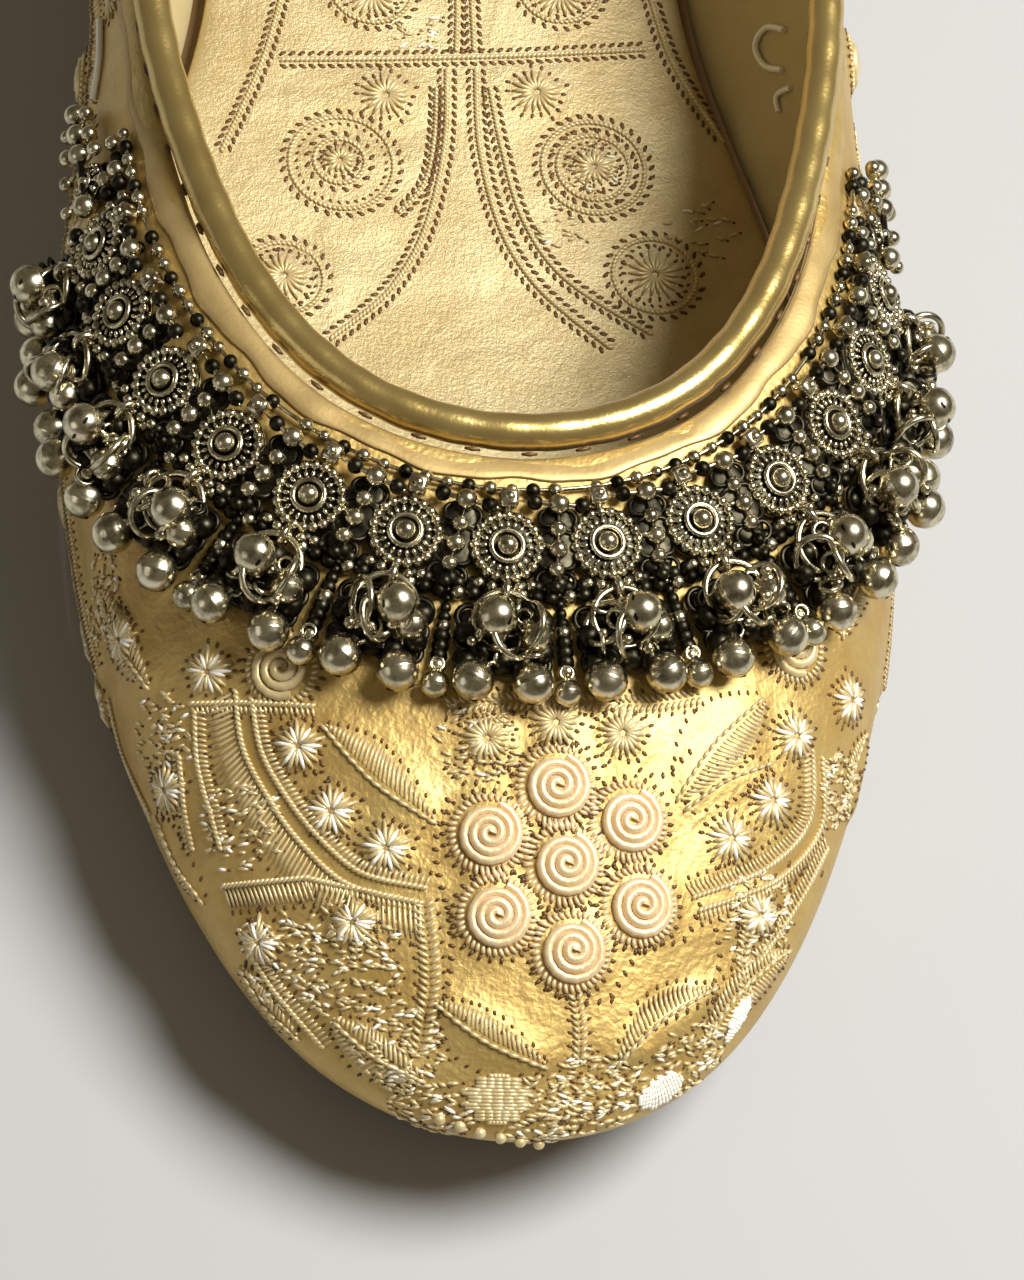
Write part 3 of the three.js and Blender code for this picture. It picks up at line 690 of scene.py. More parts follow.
class Needlework:
    """Stitches on one ground, whose places are looked up in one way."""

    def __init__(self, ground, look):
        self.ground, self.look = ground, look
        self.copies = []

    def grain(self, a, b, normal, width, height, number):
        """One stretched grain between two points."""
        x = (b - a).normalized()
        z = (normal - x * normal.dot(x)).normalized()
        y = z.cross(x)
        turn = Matrix((x * (b - a).length / 2, y * width * MM / 2, z * height * MM / 2)).transposed()
        matrix = Matrix.Translation((a + b) / 2 + z * height * MM * 0.2) @ turn.to_4x4()
        self.copies.append((PIT if number == HOLE else GRAIN, matrix, number))

    def stitch(self, a, b, kind, number=PALE):
        """One stitch, with its ends set down on the ground."""
        (start_point, normal), (end_point, _) = self.ground.near(a), self.ground.near(b)
        if (end_point - start_point).length > SHORTEST_STITCH * MM:
            self.grain(start_point, end_point, normal, *STITCHES[kind], number)

    def hole(self, at, along, kind):
        """A needle hole, drawn out the way the thread pulls it."""
        place, normal = self.ground.near(at)
        length, width = HOLES[kind]
        half = along.normalized() * length * MM / 2
        self.grain(place - half, place + half, normal, width, HOLE_HEIGHT, HOLE)

    def trace(self, corners, pitch):
        """Places a pitch apart along a line, each with its normal and the ways forward and sideways."""
        found = [self.look(at) for at in smooth_line(corners)]
        line = [place[0] for place in found if place]
        run = np.concatenate([[0], np.cumsum([(b - a).length for a, b in zip(line, line[1:])])])
        places = []
        for distance in np.linspace(0, run[-1], max(2, round(run[-1] / (pitch * MM)) + 1)):
            i = min(int(np.searchsorted(run, distance, side="right")) - 1, len(line) - 2)
            share = (distance - run[i]) / max(run[i + 1] - run[i], 1e-9)
            place, normal = self.ground.near(line[i].lerp(line[i + 1], share))
            forward = (line[i + 1] - line[i]).normalized()
            places.append((place, normal, forward, normal.cross(forward).normalized()))
        return places

    def middle(self, at):
        """A place, and a function that gives the way across the ground from it at an angle."""
        place, normal = self.look(at)
        x = (right - normal * right.dot(normal)).normalized()
        y = normal.cross(x)
        return place, lambda angle: x * cos(angle) + y * sin(angle)

    def rose(self, at, radius=3.85, turns=2.8, number=PALE):
        """A coil of flat cord on a pad, with a rim of short stitches and needle holes round it."""
        place, spoke = self.middle(at)
        coil = []
        for share in np.linspace(0, 1, int(turns * 16) + 1):
            reach = (0.2 + (radius - 1.0) * share) * MM
            point, up = self.ground.near(place + spoke(turns * tau * share) * reach)
            coil.append(point + up * 0.1 * MM)
        self.copies.append((tube("coil", coil, CORD_RADIUS * MM), Matrix(), number))
        for angle in angles(round(radius * 9)):
            outer_end = place + spoke(angle) * (radius + 0.3) * MM + spoke(angle + pi / 2) * 0.4 * MM
            self.stitch(place + spoke(angle) * (radius - 0.75) * MM, outer_end, "rim", number)
        for angle in angles(round(radius * 6.2)):
            self.hole(place + spoke(angle) * (radius + 0.55) * MM, spoke(angle), "rim")

    def floret(self, at, radius=2.8, rays=19, white=False):
        """Rays of thread from a middle, each with a needle hole at its end. Every third ray can be white."""
        place, spoke = self.middle(at)
        for i, angle in enumerate(angles(rays)):
            reach = radius * (1 + 0.14 * sin(5 * angle) + 0.08 * (i % 2))
            ends = [place + spoke(angle) * away * MM for away in (0.1, reach, reach + 0.25)]
            self.stitch(ends[0], ends[1], "ray", SILK if white and i % 3 == 0 else PALE)
            self.hole(ends[2], spoke(angle), "ray")

    def leaf(self, base, tip, width, ribbed, pitch=0.56):
        """Ribs from a midrib to the edge of one half or both, with a pricked outline."""
        bow = ((tip[1] - base[1]) * 0.06, (base[0] - tip[0]) * 0.06)
        middle = tuple((b + t) / 2 + off for b, t, off in zip(base, tip, bow))
        places = self.trace([base, middle, tip], pitch)
        hands = {"left": (1,), "right": (-1,), "both": (-1, 1), "none": ()}[ribbed]
        for i, (place, _, forward, side) in enumerate(places[1:-1]):
            share = (i + 1) / (len(places) - 1)
            half = width / 2 * sin(pi * share ** 0.85) * MM
            for hand in (-1, 1):
                edge = place + side * hand * half + forward * half * 0.5
                if hand in hands:
                    self.stitch(place + side * hand * 0.2 * MM, edge, "rib")
                if i % 2 == 0:
                    self.hole(edge + side * hand * 0.3 * MM, side * hand + forward * 0.6, "leaf")
            if i % 2 == 0:
                self.stitch(place - forward * 0.7 * MM, place + (forward * 0.7 + side * 0.2) * MM, "midrib")

    def cord(self, corners, radius):
        """A loose silk thread lying on the ground."""
        line = [place + normal * radius * 0.8 * MM for place, normal, _, _ in self.trace(corners, 0.6)]
        self.copies.append((tube("cord", line, radius * MM), Matrix(), SILK))

    def slanting(self, place, forward, side, width, kind):
        """A stitch aslant over a place, as in a twisted rope."""
        half = (forward * ROPE_SLANT[0] + side * ROPE_SLANT[1]) * width / 2 * MM
        self.stitch(place - half, place + half, kind)

    def comb(self, corners, reach, pitch=0.55):
        """A rope with a fringe of stitches to one side of it, and needle holes at its ends."""
        for i, (place, _, forward, side) in enumerate(self.trace(corners, pitch)):
            end = place + side * reach * MM + forward * abs(reach) * 0.25 * MM
            self.stitch(place, end, "fringe")
            if i % 2 == 0:
                self.hole(end + side * copysign(0.25, reach) * MM, side, "fringe")
            self.slanting(place, forward, side, 1.2, "rope")

    def braid(self, corners, width):
        """A rope between two rows of needle holes."""
        for i, (place, _, forward, side) in enumerate(self.trace(corners, 0.55)):
            self.slanting(place, forward, side, width * 0.7, "rope")
            if i % 2 == 0:
                for hand in (-1, 1):
                    self.hole(place + side * hand * width / 2 * MM, forward + side * hand * 0.6, "braid")

    def hoop(self, at, radius):
        """A rope bent round into a ring, between two rows of needle holes."""
        middle, spoke = self.middle(at)
        for i, angle in enumerate(angles(round(radius * 11))):
            way, turn = spoke(angle), spoke(angle + pi / 2)
            self.slanting(middle + way * radius * MM, turn, way, HOOP_WIDTH, "hoop")
            if i % 2:
                self.hole(middle + way * (radius + HOOP_WIDTH * 0.75) * MM, turn + way, "braid")
                self.hole(middle + way * (radius - HOOP_WIDTH * 0.75) * MM, turn + way, "hoop")

    def herringbone(self, corners, width, pitch=0.7):
        """Leaning stitches that meet in a middle line."""
        for i, (place, _, forward, side) in enumerate(self.trace(corners, pitch)):
            for hand in (-1, 1):
                end = place + side * hand * width / 2 * MM - forward * 0.7 * MM
                self.stitch(place, end, "bone")
                if i % 2 == 0:
                    self.hole(end + side * hand * 0.25 * MM, side * hand - forward * 0.5, "fringe")

    def pricked(self, corners):
        """A line of needle holes."""
        for place, _, forward, side in self.trace(corners, 1.3):
            self.hole(place, side + forward * 0.4, "pricked")

    def satin(self, corners, width, number):
        """Long stitches side by side, which shine as one patch. Each is a row of overlapping grains."""
        places = self.trace(corners, 0.36)
        for i, (place, _, _, side) in enumerate(places):
            share = (i + 0.7) / (len(places) + 0.4)
            half = side * width / 2 * (sin(pi * share) ** 0.6 + 0.14 * sin(i * 1.7)) * MM
            for begin in SATIN_GRAINS["starts"]:
                end = begin + SATIN_GRAINS["length"]
                self.stitch(place + half * begin, place + half * end, "satin", number)

    def seeds(self, at, radius, count):
        """Short stitches strewn about a place, some of them white."""
        middle, spoke = self.middle(at)
        for _ in range(count):
            angle, reach = random.uniform(0, tau), radius * sqrt(random.random()) * MM
            lean = random.uniform(-0.7, 0.7)
            place = middle + spoke(angle) * reach
            half = spoke(lean) * random.uniform(0.45, 0.8) * MM
            self.stitch(place - half, place + half, "seed", SILK if random.random() < 0.15 else PALE)
            if random.random() < 0.6:
                self.hole(place + half * 1.5, half, "seed")

    def knots(self, corners):
        """A line of round knots."""
        for place, normal, _, _ in self.trace(corners, 2.2):
            middle = Matrix.Translation(place + normal * KNOT_RADIUS * 0.4 * MM)
            self.copies.append((KNOT, middle @ Matrix.Scale(KNOT_RADIUS * MM, 4), PALE))

    def finish(self, name, slot="embroidery_thread"):
        """All of it as one piece that rides on the shoe."""
        return piece(name, laid_out(name, self.copies), THREADS, slot)


# %% [markdown]
# The vamp's needlework, motif by motif, and then that of the quarters.

# %% Sew the vamp and quarters
random.seed(7)
vamp = Needlework(upper_ground, upper_ground.seen)
for at in ROSES:
    vamp.rose(at, radius=4.2, turns=3.2, number=ROSY)
for at in PALE_ROSES:
    vamp.rose(at)
# Florets in the middle of the toe get no white rays: painted shade under the fringe.
for at in FLORETS:
    vamp.floret(at, radius=2.6, white=not TOE_MIDDLE[0] < at[0] < TOE_MIDDLE[1])
for line in PRICKED_LINES:
    vamp.pricked(line)
for sew, rows in ((vamp.leaf, LEAVES), (vamp.comb, COMBS), (vamp.herringbone, HERRINGBONES),
                  (vamp.satin, SATIN_PATCHES), (vamp.cord, LOOSE_THREADS)):
    for row in rows:
        sew(*row)
for at, radius, count in SEEDED:
    vamp.seeds(at, radius, round(count * SEED_DENSITY))
vamp.knots(KNOT_LINE)
vamp.finish("vamp_embroidery")

BORDERS = (14, 16.6)
BORDER_CORNERS = 25
WALL_PITCH = 0.75
WALL_LEAVES = [(-7.5, "right"), (7.5, "left")]
quarters = Needlework(upper_ground, upper_ground.beside)
for reach in (2.6, -2.0):
    quarters.comb(stem_points[::2], reach, pitch=WALL_PITCH)
for stem in spray_stems:
    quarters.comb(stem, 1.8)
    quarters.comb(stem, -1.4)
for at in wall_roses:
    quarters.rose(at, radius=3.4, turns=2.3)
for at in wall_florets:
    quarters.floret(at, white=True)
for at, hand in bends:
    high = stem_height(at)
    for away, ribbed in WALL_LEAVES:
        base = (at + away, stem_height(at + away) - 1.5 * hand)
        quarters.leaf(base, (at + away * 1.9, high - 10 * hand), 5.4, ribbed, pitch=WALL_PITCH)
    quarters.floret((at, high + 5.5 * hand), radius=2.2, rays=13)
for height in BORDERS:
    quarters.herringbone([(at, height) for at in np.linspace(0, WALL_ROUND, BORDER_CORNERS)], 1.8, pitch=1.1)
quarters.finish("quarter_embroidery")

# %% [markdown]
# The upper is one hollow piece. Its inner face wears the woven lining, so its faces are sorted by the
# side they look to.

# %% Upper
inner = ~outer_faces(upper_mesh)
piece("upper_leather", upper_mesh, [LEATHER, LINING], "gold_leather", replaces=["upper"])
upper_mesh.polygons.foreach_set("material_index", inner.astype(int))

# %% [markdown]
# The collar's middle line is found from the CAD piping: it is cut like a sausage by upright planes
# through the middle of the collar, and the middle of each slice is a point of the line.

# %% Collar line
COLLAR_MIDDLE = Vector((0, 30, 0)) * MM
COLLAR_POINTS = 230
SLICES = 180
SMOOTHINGS = 3


def slice_middle(source, angle):
    """The middle of the piping where an upright plane cuts it in one direction."""
    way = Vector((cos(angle), sin(angle), 0))
    bm = source.copy()
    cut = bmesh.ops.bisect_plane(bm, geom=bm.verts[:] + bm.edges[:] + bm.faces[:], plane_co=COLLAR_MIDDLE,
                                 plane_no=(-way.y, way.x, 0), dist=MERGE)
    found = [v.co.copy() for v in cut["geom_cut"] if isinstance(v, bmesh.types.BMVert)]
    bm.free()
    found = [co for co in found if (co - COLLAR_MIDDLE).dot(way) > 0]
    reach = [(co - COLLAR_MIDDLE).dot(way) for co in found]
    height = [co.z for co in found]
    middle = COLLAR_MIDDLE + way * (min(reach) + max(reach)) / 2
    return Vector((middle.x, middle.y, (min(height) + max(height)) / 2))


def evenly(closed_line, count):
    """Points evenly spaced along a closed line, and its length."""
    loop = np.vstack([closed_line, closed_line[:1]])
    run = np.concatenate([[0], np.cumsum(np.linalg.norm(np.diff(loop, axis=0), axis=1))])
    at = np.linspace(0, run[-1], count, endpoint=False)
    return np.column_stack([np.interp(at, run, loop[:, axis]) for axis in range(3)]), run[-1]


piping_bm = bmesh.new()
piping_bm.from_mesh(frame["nodes"]["collar_piping"].data)
bmesh.ops.remove_doubles(piping_bm, verts=piping_bm.verts, dist=WELD)
slices = np.array([slice_middle(piping_bm, angle) for angle in angles(SLICES)])
piping_bm.free()
for _ in range(SMOOTHINGS):
    slices = (np.roll(slices, 1, axis=0) + slices * 2 + np.roll(slices, -1, axis=0)) / 4
collar, collar_length = evenly(slices, COLLAR_POINTS)
collar = [Vector(point) for point in collar]
print("collar", round(collar_length / MM), "mm round")

# %% [markdown]
# The piping is satin wrapped round a cord and sewn close under it, so it swells a little between
# stitches. A curve with a round bevel makes it, with the swell as the radius of each point.

# %% Piping
PIPING_RADIUS = 2.0
STITCH_PITCH = 5.4
PINCH = {"points": 8, "depth": 0.022}
WANDER = {"size": 0.012, "rate": 0.37}
stitches_round = round(collar_length / MM / STITCH_PITCH)
fine_collar, _ = evenly(np.array(collar), stitches_round * PINCH["points"])
swell = [1 - PINCH["depth"] * cos(tau * i / PINCH["points"]) + WANDER["size"] * sin(i * WANDER["rate"])
         for i in range(len(fine_collar))]
piping_tube = tube("piping", fine_collar, PIPING_RADIUS * MM, 6, swell)
piping = piece("satin_piping", piping_tube, [SATIN], "satin_piping", replaces=["collar_piping"])

# %% [markdown]
# The piping's satin goes on under the roll and is sewn flat to the leather as a narrow flange, with the
# stitches in the groove between them. The flange is a grid bent into a thin band: each of its rows is a
# section of the flange, and the rows at its ends and the points at its sides meet and are merged.

# %% Flange and its stitches
FLANGE = {"inner": 1.9, "outer": 5.9, "thick": 0.5, "stray": 0.4, "puff": 1.5, "swell": 0.35}
DASH = {"away": 2.55, "length": 2.0, "width": 0.7, "height": 0.5}
SUNK = 0.1 * MM
COMPASS = np.linspace(1.1, -1.7, 29)


def away_from_collar(i, distance):
    """The leather at a distance from the piping's middle, found with a compass swung down from above.

    The result is the place, its normal and the way along the collar.
    """
    here = collar[i % COLLAR_POINTS]
    along = (collar[(i + 1) % COLLAR_POINTS] - collar[i - 1]).normalized()
    outward = along.cross(UP).normalized()
    if outward.dot(here - COLLAR_MIDDLE) < 0:
        outward.negate()
    swing = [here + (outward * cos(a) + UP * sin(a)) * distance * MM for a in COMPASS]
    for a, b in zip(swing, swing[1:]):
        place, normal, _, _ = smooth_ground.tree.ray_cast(a, (b - a).normalized(), (b - a).length)
        if place:
            return place, normal, along
    return *smooth_ground.near(swing[-1]), along


def flange_section(i):
    """The flange's section: five points from the roll to its free edge and back."""
    stray = FLANGE["stray"] * (sin(i * 0.83) + 0.6 * sin(i * 2.1 + 1))
    a, up_a, _ = away_from_collar(i, FLANGE["inner"])
    b, up_b, _ = away_from_collar(i, FLANGE["outer"] + stray)
    thick = FLANGE["thick"] * MM
    puff = FLANGE["puff"] + FLANGE["swell"] * sin(i * tau * stitches_round / COLLAR_POINTS)
    crown = a.lerp(b, 0.55) + up_a * thick * puff
    return [a - up_a * SUNK, a + up_a * thick * 0.5, crown, b + up_b * thick * 0.8, b - up_b * SUNK]


sections = [flange_section(i) for i in range(COLLAR_POINTS)]
flange_bm = bmesh.new()
bmesh.ops.create_grid(flange_bm, x_segments=len(sections[0]), y_segments=COLLAR_POINTS, size=1)
grid_places = [place for section in [*sections, sections[0]] for place in [*section, section[0]]]
for vert, place in zip(flange_bm.verts, grid_places):
    vert.co = place
bmesh.ops.remove_doubles(flange_bm, verts=flange_bm.verts, dist=MERGE)
rounded(piece("satin_flange", mesh_from(flange_bm, "satin_flange"), [RAW_SATIN], "satin_piping"), 1)

seam = Needlework(smooth_ground, None)
for i in range(stitches_round):
    place, normal, along = away_from_collar(round(i * COLLAR_POINTS / stitches_round), DASH["away"])
    half = along * DASH["length"] / 2 * MM
    lifted = place + normal * DASH["height"] * MM
    seam.grain(lifted - half, lifted + half, normal, DASH["width"], DASH["height"], HOLE)
seam.finish("collar_seam", "satin_piping")

# %% [markdown]
# The sock is padded foil leather with its own embroidery: a bar across, a stem that parts into two
# curves, two large rings and florets. It is seen through the collar, so its places are pixels too. The
# camera's ray is caught by the sock itself, past the collar.

# %% Insole
SOCK_CREASES = [[(400, 250), (470, 300), (560, 280)], [(300, 240), (350, 262), (420, 255)],
                [(520, 330), (600, 360)]]
# Middles and radii of the rings and florets.
SOCK_HOOPS = [((342, 162), 6.0), ((340, 160), 2.9), ((594, 167), 6.0), ((594, 167), 4.2), ((284, 276), 4.6),
              ((655, 275), 4.8), ((372, -14), 4.8), ((560, -14), 4.8)]
SOCK_FLORETS = [((386, 95), 2.9), ((537, 92), 2.9), ((340, 160), 1.9), ((594, 167), 2.4), ((284, 276), 3.0),
                ((655, 275), 3.1), ((372, -6), 3.2), ((560, -6), 3.2)]
# The line and the width.
SOCK_BRAIDS = [
    ([(283, 60), (400, 59), (520, 56), (645, 50)], 1.7),
    ([(447, 72), (444, 150), (424, 232), (388, 292), (332, 338)], 1.8),
    ([(476, 72), (480, 150), (502, 232), (542, 292), (610, 348)], 1.8),
    ([(490, 90), (502, 150), (524, 222), (566, 280), (650, 334)], 1.5),
    ([(283, -10), (262, 62), (222, 150)], 1.5),
    ([(648, -10), (672, 62), (722, 140)], 1.8),
    ([(456, -40), (457, 10), (456, 50)], 1.5),
    ([(470, -40), (472, 10), (474, 50)], 1.5),
    ([(400, 212), (424, 184), (434, 140), (436, 90)], 1.2),
]
SOCK_SEEDS = [((592, 168), 3.6, 34), ((700, 230), 4, 26), ((560, 230), 3, 16), ((420, 30), 3, 16)]
flat_sock = Ground(insole_mesh)
sock_pads = []
for at, radius in SOCK_FLORETS:
    sock_pads += pads_at(flat_sock.seen, [at], 1.5 * radius, 0.45)
raise_relief(insole_mesh, sock_pads + creased(flat_sock.seen, SOCK_CREASES, 3.2, 0.22))
insole = piece("foil_sock", insole_mesh, [FOIL], "foil_leather", replaces=["insole"])

sock_ground = Ground(insole_mesh)
sock = Needlework(sock_ground, sock_ground.seen)
for at, radius in SOCK_FLORETS:
    sock.floret(at, radius, rays=round(6 + 4 * radius))
for sew, rows in ((sock.hoop, SOCK_HOOPS), (sock.braid, SOCK_BRAIDS), (sock.seeds, SOCK_SEEDS)):
    for row in rows:
        sew(*row)
sock.finish("sock_embroidery")

# %% [markdown]
# The sole and the heel lift are plain vegetable tanned leather. They are rounded copies of the CAD
# solids.

# %% Sole and heel lift
for node in ("outsole", "heel_lift"):
    piece(f"{node}_leather", smooth_copy(node, 2), [SOLE], "sole_leather", replaces=[node])

# %% [markdown]
# A link is one casting: a domed disc with a dark moat, a rim of granules, a ring of short ribs, a round
# boss and small beads about it, with a web of dark rings to the next link. Under the web lies a flat dark
# plate, which is painted shade between the links. Each link is built on a flat plane and laid out at its
# own frame, which comes from the CAD link: its flat back gives the plane and its hinge gives the way along
# the chain.

# %% Trim shapes
BEAD = ball("bead", 3)
GRANULE = ball("granule", 2)
DISC = turned("disc", [(0, 0), (3.7, 0), (4.0, 0.3), (3.9, 0.85), (3.0, 1.0), (2.7, 0.8), (2.3, 1.25),
                       (2.0, 1.0), (1.5, 1.45), (1.2, 1.2), (0, 1.6)], 32)
RIM_RING = ring("rim_ring", 3.8, 0.2, 32, 6)
INNER_RING = ring("inner_ring", 1.65, 0.32, 24, 6)
EYE_RING = ring("eye_ring", 1.05, 0.42, 18, 6)
JUMP_RADIUS = 3.2
JUMP_RING = ring("jump_ring", JUMP_RADIUS, 0.4, 32, 7)
CURL_RING = ring("curl_ring", 2.4, 0.38, 26, 6)
SMALL_RING = ring("small_ring", 1.0, 0.28, 16, 5)
BELL_RADIUS = 2.2
SEAM_RIDGE = 0.05
LATITUDES = [radians(degrees) for degrees in (-74, -58, -42, -26, -12, -4, 0, 4, 12, 26, 42, 58, 71)]
BELL_WALL = [((BELL_RADIUS + (0 if latitude else SEAM_RIDGE)) * cos(latitude), BELL_RADIUS * sin(latitude))
             for latitude in LATITUDES]
BELL = turned("bell", [(0, -BELL_RADIUS), *BELL_WALL, (0.62, 2.45), (0.3, 2.6), (0, 2.62)], 30)
block_bm = bmesh.new()
bmesh.ops.create_cube(block_bm, size=2.0)
bmesh.ops.bevel(block_bm, geom=block_bm.edges[:], offset=0.45, segments=2, profile=0.5, affect="EDGES",
                material=-1)
BLOCK = mesh_from(block_bm, "block")


def aimed(way):
    """The turn that takes the z axis to a way."""
    return way.to_track_quat("Z", "Y").to_matrix().to_4x4()


def bead(shape, place, size=1.0, metal=RUBBED, flat=1.0):
    """A bead or a ring at a place."""
    return shape, Matrix.Translation(place) @ Matrix.Diagonal((size, size, size * flat, 1)), metal


def wire(a, b, radius, metal=RUBBED):
    """A granule stretched into a short wire from one place to another."""
    a, b = Vector(a), Vector(b)
    long = Matrix.Diagonal((radius, radius, (b - a).length / 2, 1))
    return GRANULE, Matrix.Translation((a + b) / 2) @ aimed(b - a) @ long, metal


def moved(parts, matrix):
    """Parts taken into another frame."""
    return [(shape, matrix @ own, metal) for shape, own, metal in parts]


def trim_piece(name, parts, **more):
    """A piece of the trim from its parts."""
    piece(name, laid_out(name, parts), METALS, "silver_trim", **more)


# %% [markdown]
# A link is drawn from above in mm: x along the chain to the next link, y up to the collar and z off the
# leather.

# %% Links
LINK_RADIUS = 3.95
SMALL = 0.6
UNDER_BEADS = [(-1.4, -4.3, 1.0), (0, -4.6, 0.8), (1.4, -4.3, 1.0), (-2.7, -3.9, 0.8), (2.7, -3.9, 0.8)]
LINK_WIRES = [((0, -3.4, 1.0), (0, -4.3, 1.5), 0.45), ((0, 3.6, 0.9), (0, 4.6, 1.1), 0.4)]
WEB_BEADS = [((2.7, 5.0, 1.1), 0.85, DARK), ((5.2, 4.9, 1.3), 1.12, RUBBED), ((7.6, 5.0, 1.1), 0.85, DARK),
             ((5.2, 2.3, 1.1), 0.9, RUBBED), ((5.3, 0.1, 1.2), 1.0, RUBBED), ((5.2, -2.1, 1.1), 0.9, RUBBED),
             ((5.2, -4.0, 1.0), 0.75, DARK)]
WEB_WIRES = [((0.8, 5.0, 1.2), (9.0, 4.9, 1.2), 0.3, RUBBED), ((5.2, 4.9, 1.1), (5.2, -4.0, 1.0), 0.35, DARK),
             ((3.5, 0.6, 0.9), (5.0, 0.3, 1.0), 0.3, RUBBED)]
WEB_RINGS = [(4.3, 3.5), (6.1, 3.5), (4.4, 1.2), (6.1, 1.1), (4.4, -1.0), (6.1, -1.1), (4.2, -3.2),
             (6.2, -3.2)]
# A flat dark plate under the web: painted shade between the links.
WEB_SHADE_PLATE = {"middle": (5.1, 0.5, 0.45), "half": (2.2, 4.9, 0.45)}


def rosette(radius, granules):
    """A rosette's parts at a radius, on its own plane. It is drawn at the radius of a link's."""
    parts = [bead(DISC, (0, 0, 0), metal=DARK), bead(RIM_RING, (0, 0, 0.5)), bead(INNER_RING, (0, 0, 1.6)),
             bead(BEAD, (0, 0, 1.7), 1.08)]
    for angle in angles(granules):
        x, y = cos(angle), sin(angle)
        parts.append(bead(GRANULE, (3.36 * x, 3.36 * y, 1.05), 0.58))
        parts.append(wire((2.0 * x, 2.0 * y, 1.35), (2.8 * x, 2.8 * y, 1.15), 0.24))
    return moved(parts, Matrix.Scale(radius / LINK_RADIUS, 4))


def web_parts():
    """The beads, rings and wires from one link to the next, over a flat dark plate of painted shade."""
    parts = [bead(BEAD, place, size, metal) for place, size, metal in WEB_BEADS]
    parts += [wire(*row) for row in WEB_WIRES]
    for x, y in WEB_RINGS:
        tilt = Matrix.Rotation(0.5 * sin(3 * x + y), 4, "X")
        parts.append((SMALL_RING, Matrix.Translation((x, y, 0.6)) @ tilt, DARK))
    shade_plate = Matrix.Translation(WEB_SHADE_PLATE["middle"]) @ Matrix.Diagonal((*WEB_SHADE_PLATE["half"], 1))
    return parts + [(BEAD, shade_plate, DARK)]


LINK = rosette(LINK_RADIUS, 20) + [bead(BLOCK, (0, 5.1, 1.2)), bead(GRANULE, (0, 5.1, 2.15), SMALL)]
LINK += [bead(GRANULE, place, SMALL) for place in UNDER_BEADS] + [wire(*row) for row in LINK_WIRES]
LINK.append((EYE_RING, Matrix.Translation((0, -5, 1.7)) @ Matrix.Rotation(pi / 2, 4, "Y"), RUBBED))


def plane_of(node, along):
    """The frame of a trim casting: the middle of its flat back, its normal and its way along the chain."""
    bm = bmesh.new()
    bm.from_mesh(frame["nodes"][node].data)
    bmesh.ops.remove_doubles(bm, verts=bm.verts, dist=WELD / 10)
    groups = {}
    for face in bm.faces:
        key = tuple(round(c, 2) for c in face.normal)
        area, middle = groups.get(key, (0, Vector()))
        groups[key] = (area + face.calc_area(), middle + face.calc_center_median() * face.calc_area())
    normal, (area, middle) = max(groups.items(), key=lambda item: item[1][0])
    bm.free()
    z = -Vector(normal).normalized()
    x = (along - z * along.dot(z)).normalized()
    turn = Matrix((x, z.cross(x), z)).transposed().to_4x4()
    return Matrix.Translation(middle / area) @ turn @ Matrix.Scale(MM, 4)


hinges = {joint["child"]: joint for joint in frame["joints"]}
along_chain = {number: -Vector(hinges[f"tassel_{number}"]["axis"]) for number in LINKS}
for number in LINKS:
    parts = LINK if number == LINKS[-1] else LINK + web_parts()
    trim_piece(f"rosette_link_{number}", moved(parts, plane_of(f"trim_link_{number}", along_chain[number])),
               replaces=[f"trim_link_{number}"])

# %% [markdown]
# Along the flange runs a row of small beads on a wire, from one end of the chain to the other. It is
# placed by walking along the collar line, a fixed distance off. At both ends two more lanes of beads
# widen it.

# %% Bead row
ROW = {"away": 6.95, "radius": 0.78, "pitch": 1.95, "wire": 0.25, "ends": 8, "lanes": (8.8, 10.8)}
LANE_SIZES = (1.15, 0.9, 1.3)


def nearest_station(node):
    """The number of the collar point nearest to a node."""
    low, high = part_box(node)
    middle = (Vector(low) + Vector(high)) / 2
    return min(range(COLLAR_POINTS), key=lambda i: (collar[i] - middle).length)


stations = np.arange(nearest_station("trim_end_left"), nearest_station("trim_end_right"),
                     ROW["pitch"] * MM * COLLAR_POINTS / collar_length)
row_line, row_parts = [], []
for i, station in enumerate(stations):
    place, normal, _ = away_from_collar(round(station), ROW["away"])
    row_line.append(place + normal * ROW["radius"] * MM)
    size = ROW["radius"] * (1 if i % 3 else 0.85) * MM
    row_parts.append(bead(BEAD if i % 2 else GRANULE, row_line[-1], size, DARK if i % 3 == 1 else RUBBED))
row_parts.append((tube("row_wire", row_line, ROW["wire"] * MM), Matrix(), RUBBED))
for i, station in enumerate([*stations[: ROW["ends"]], *stations[-ROW["ends"] :]]):
    for lane, away in enumerate(ROW["lanes"]):
        place, normal, _ = away_from_collar(round(station + lane), away)
        size = ROW["radius"] * LANE_SIZES[(i + lane) % 3] * MM
        row_parts.append(bead(BEAD, place + normal * size, size, DARK if (i + lane) % 2 else RUBBED))
trim_piece("bead_row", row_parts)

# %% [markdown]
# The two ends of the chain are a small rosette and a string of beads on a wire, with more beads beside
# it.

# %% Trim ends
END_ROSETTE = 2.5
END_HEIGHT = 1.3
END_BEADS = [-4, 4.3, 7.6, 10.9]
# Across, up and size.
END_SIDE_BEADS = [(5.6, 2.2, 0.9), (9.2, 2.0, 0.85), (6.2, -2.3, 1.0), (9.4, -2.0, 0.8), (2.6, -3.0, 0.9),
                  (2.4, 2.9, 0.8), (-1.8, -3.4, 0.8)]


def end_parts(side):
    """A trim end's parts on its own plane, running on to one side."""
    parts = rosette(END_ROSETTE, 12) + [bead(BEAD, (side * x, 0, END_HEIGHT), 1.3) for x in END_BEADS]
    for x, y, size in END_SIDE_BEADS:
        parts.append(bead(BEAD, (side * x, y, END_HEIGHT), size))
        parts.append(wire((side * x * 0.9, y * 0.4, 1.2), (side * x, y, END_HEIGHT), 0.3))
    first, last = END_BEADS[0], END_BEADS[-1]
    return parts + [wire((first * side, 0, END_HEIGHT), (last * side, 0, END_HEIGHT), 0.4, DARK)]


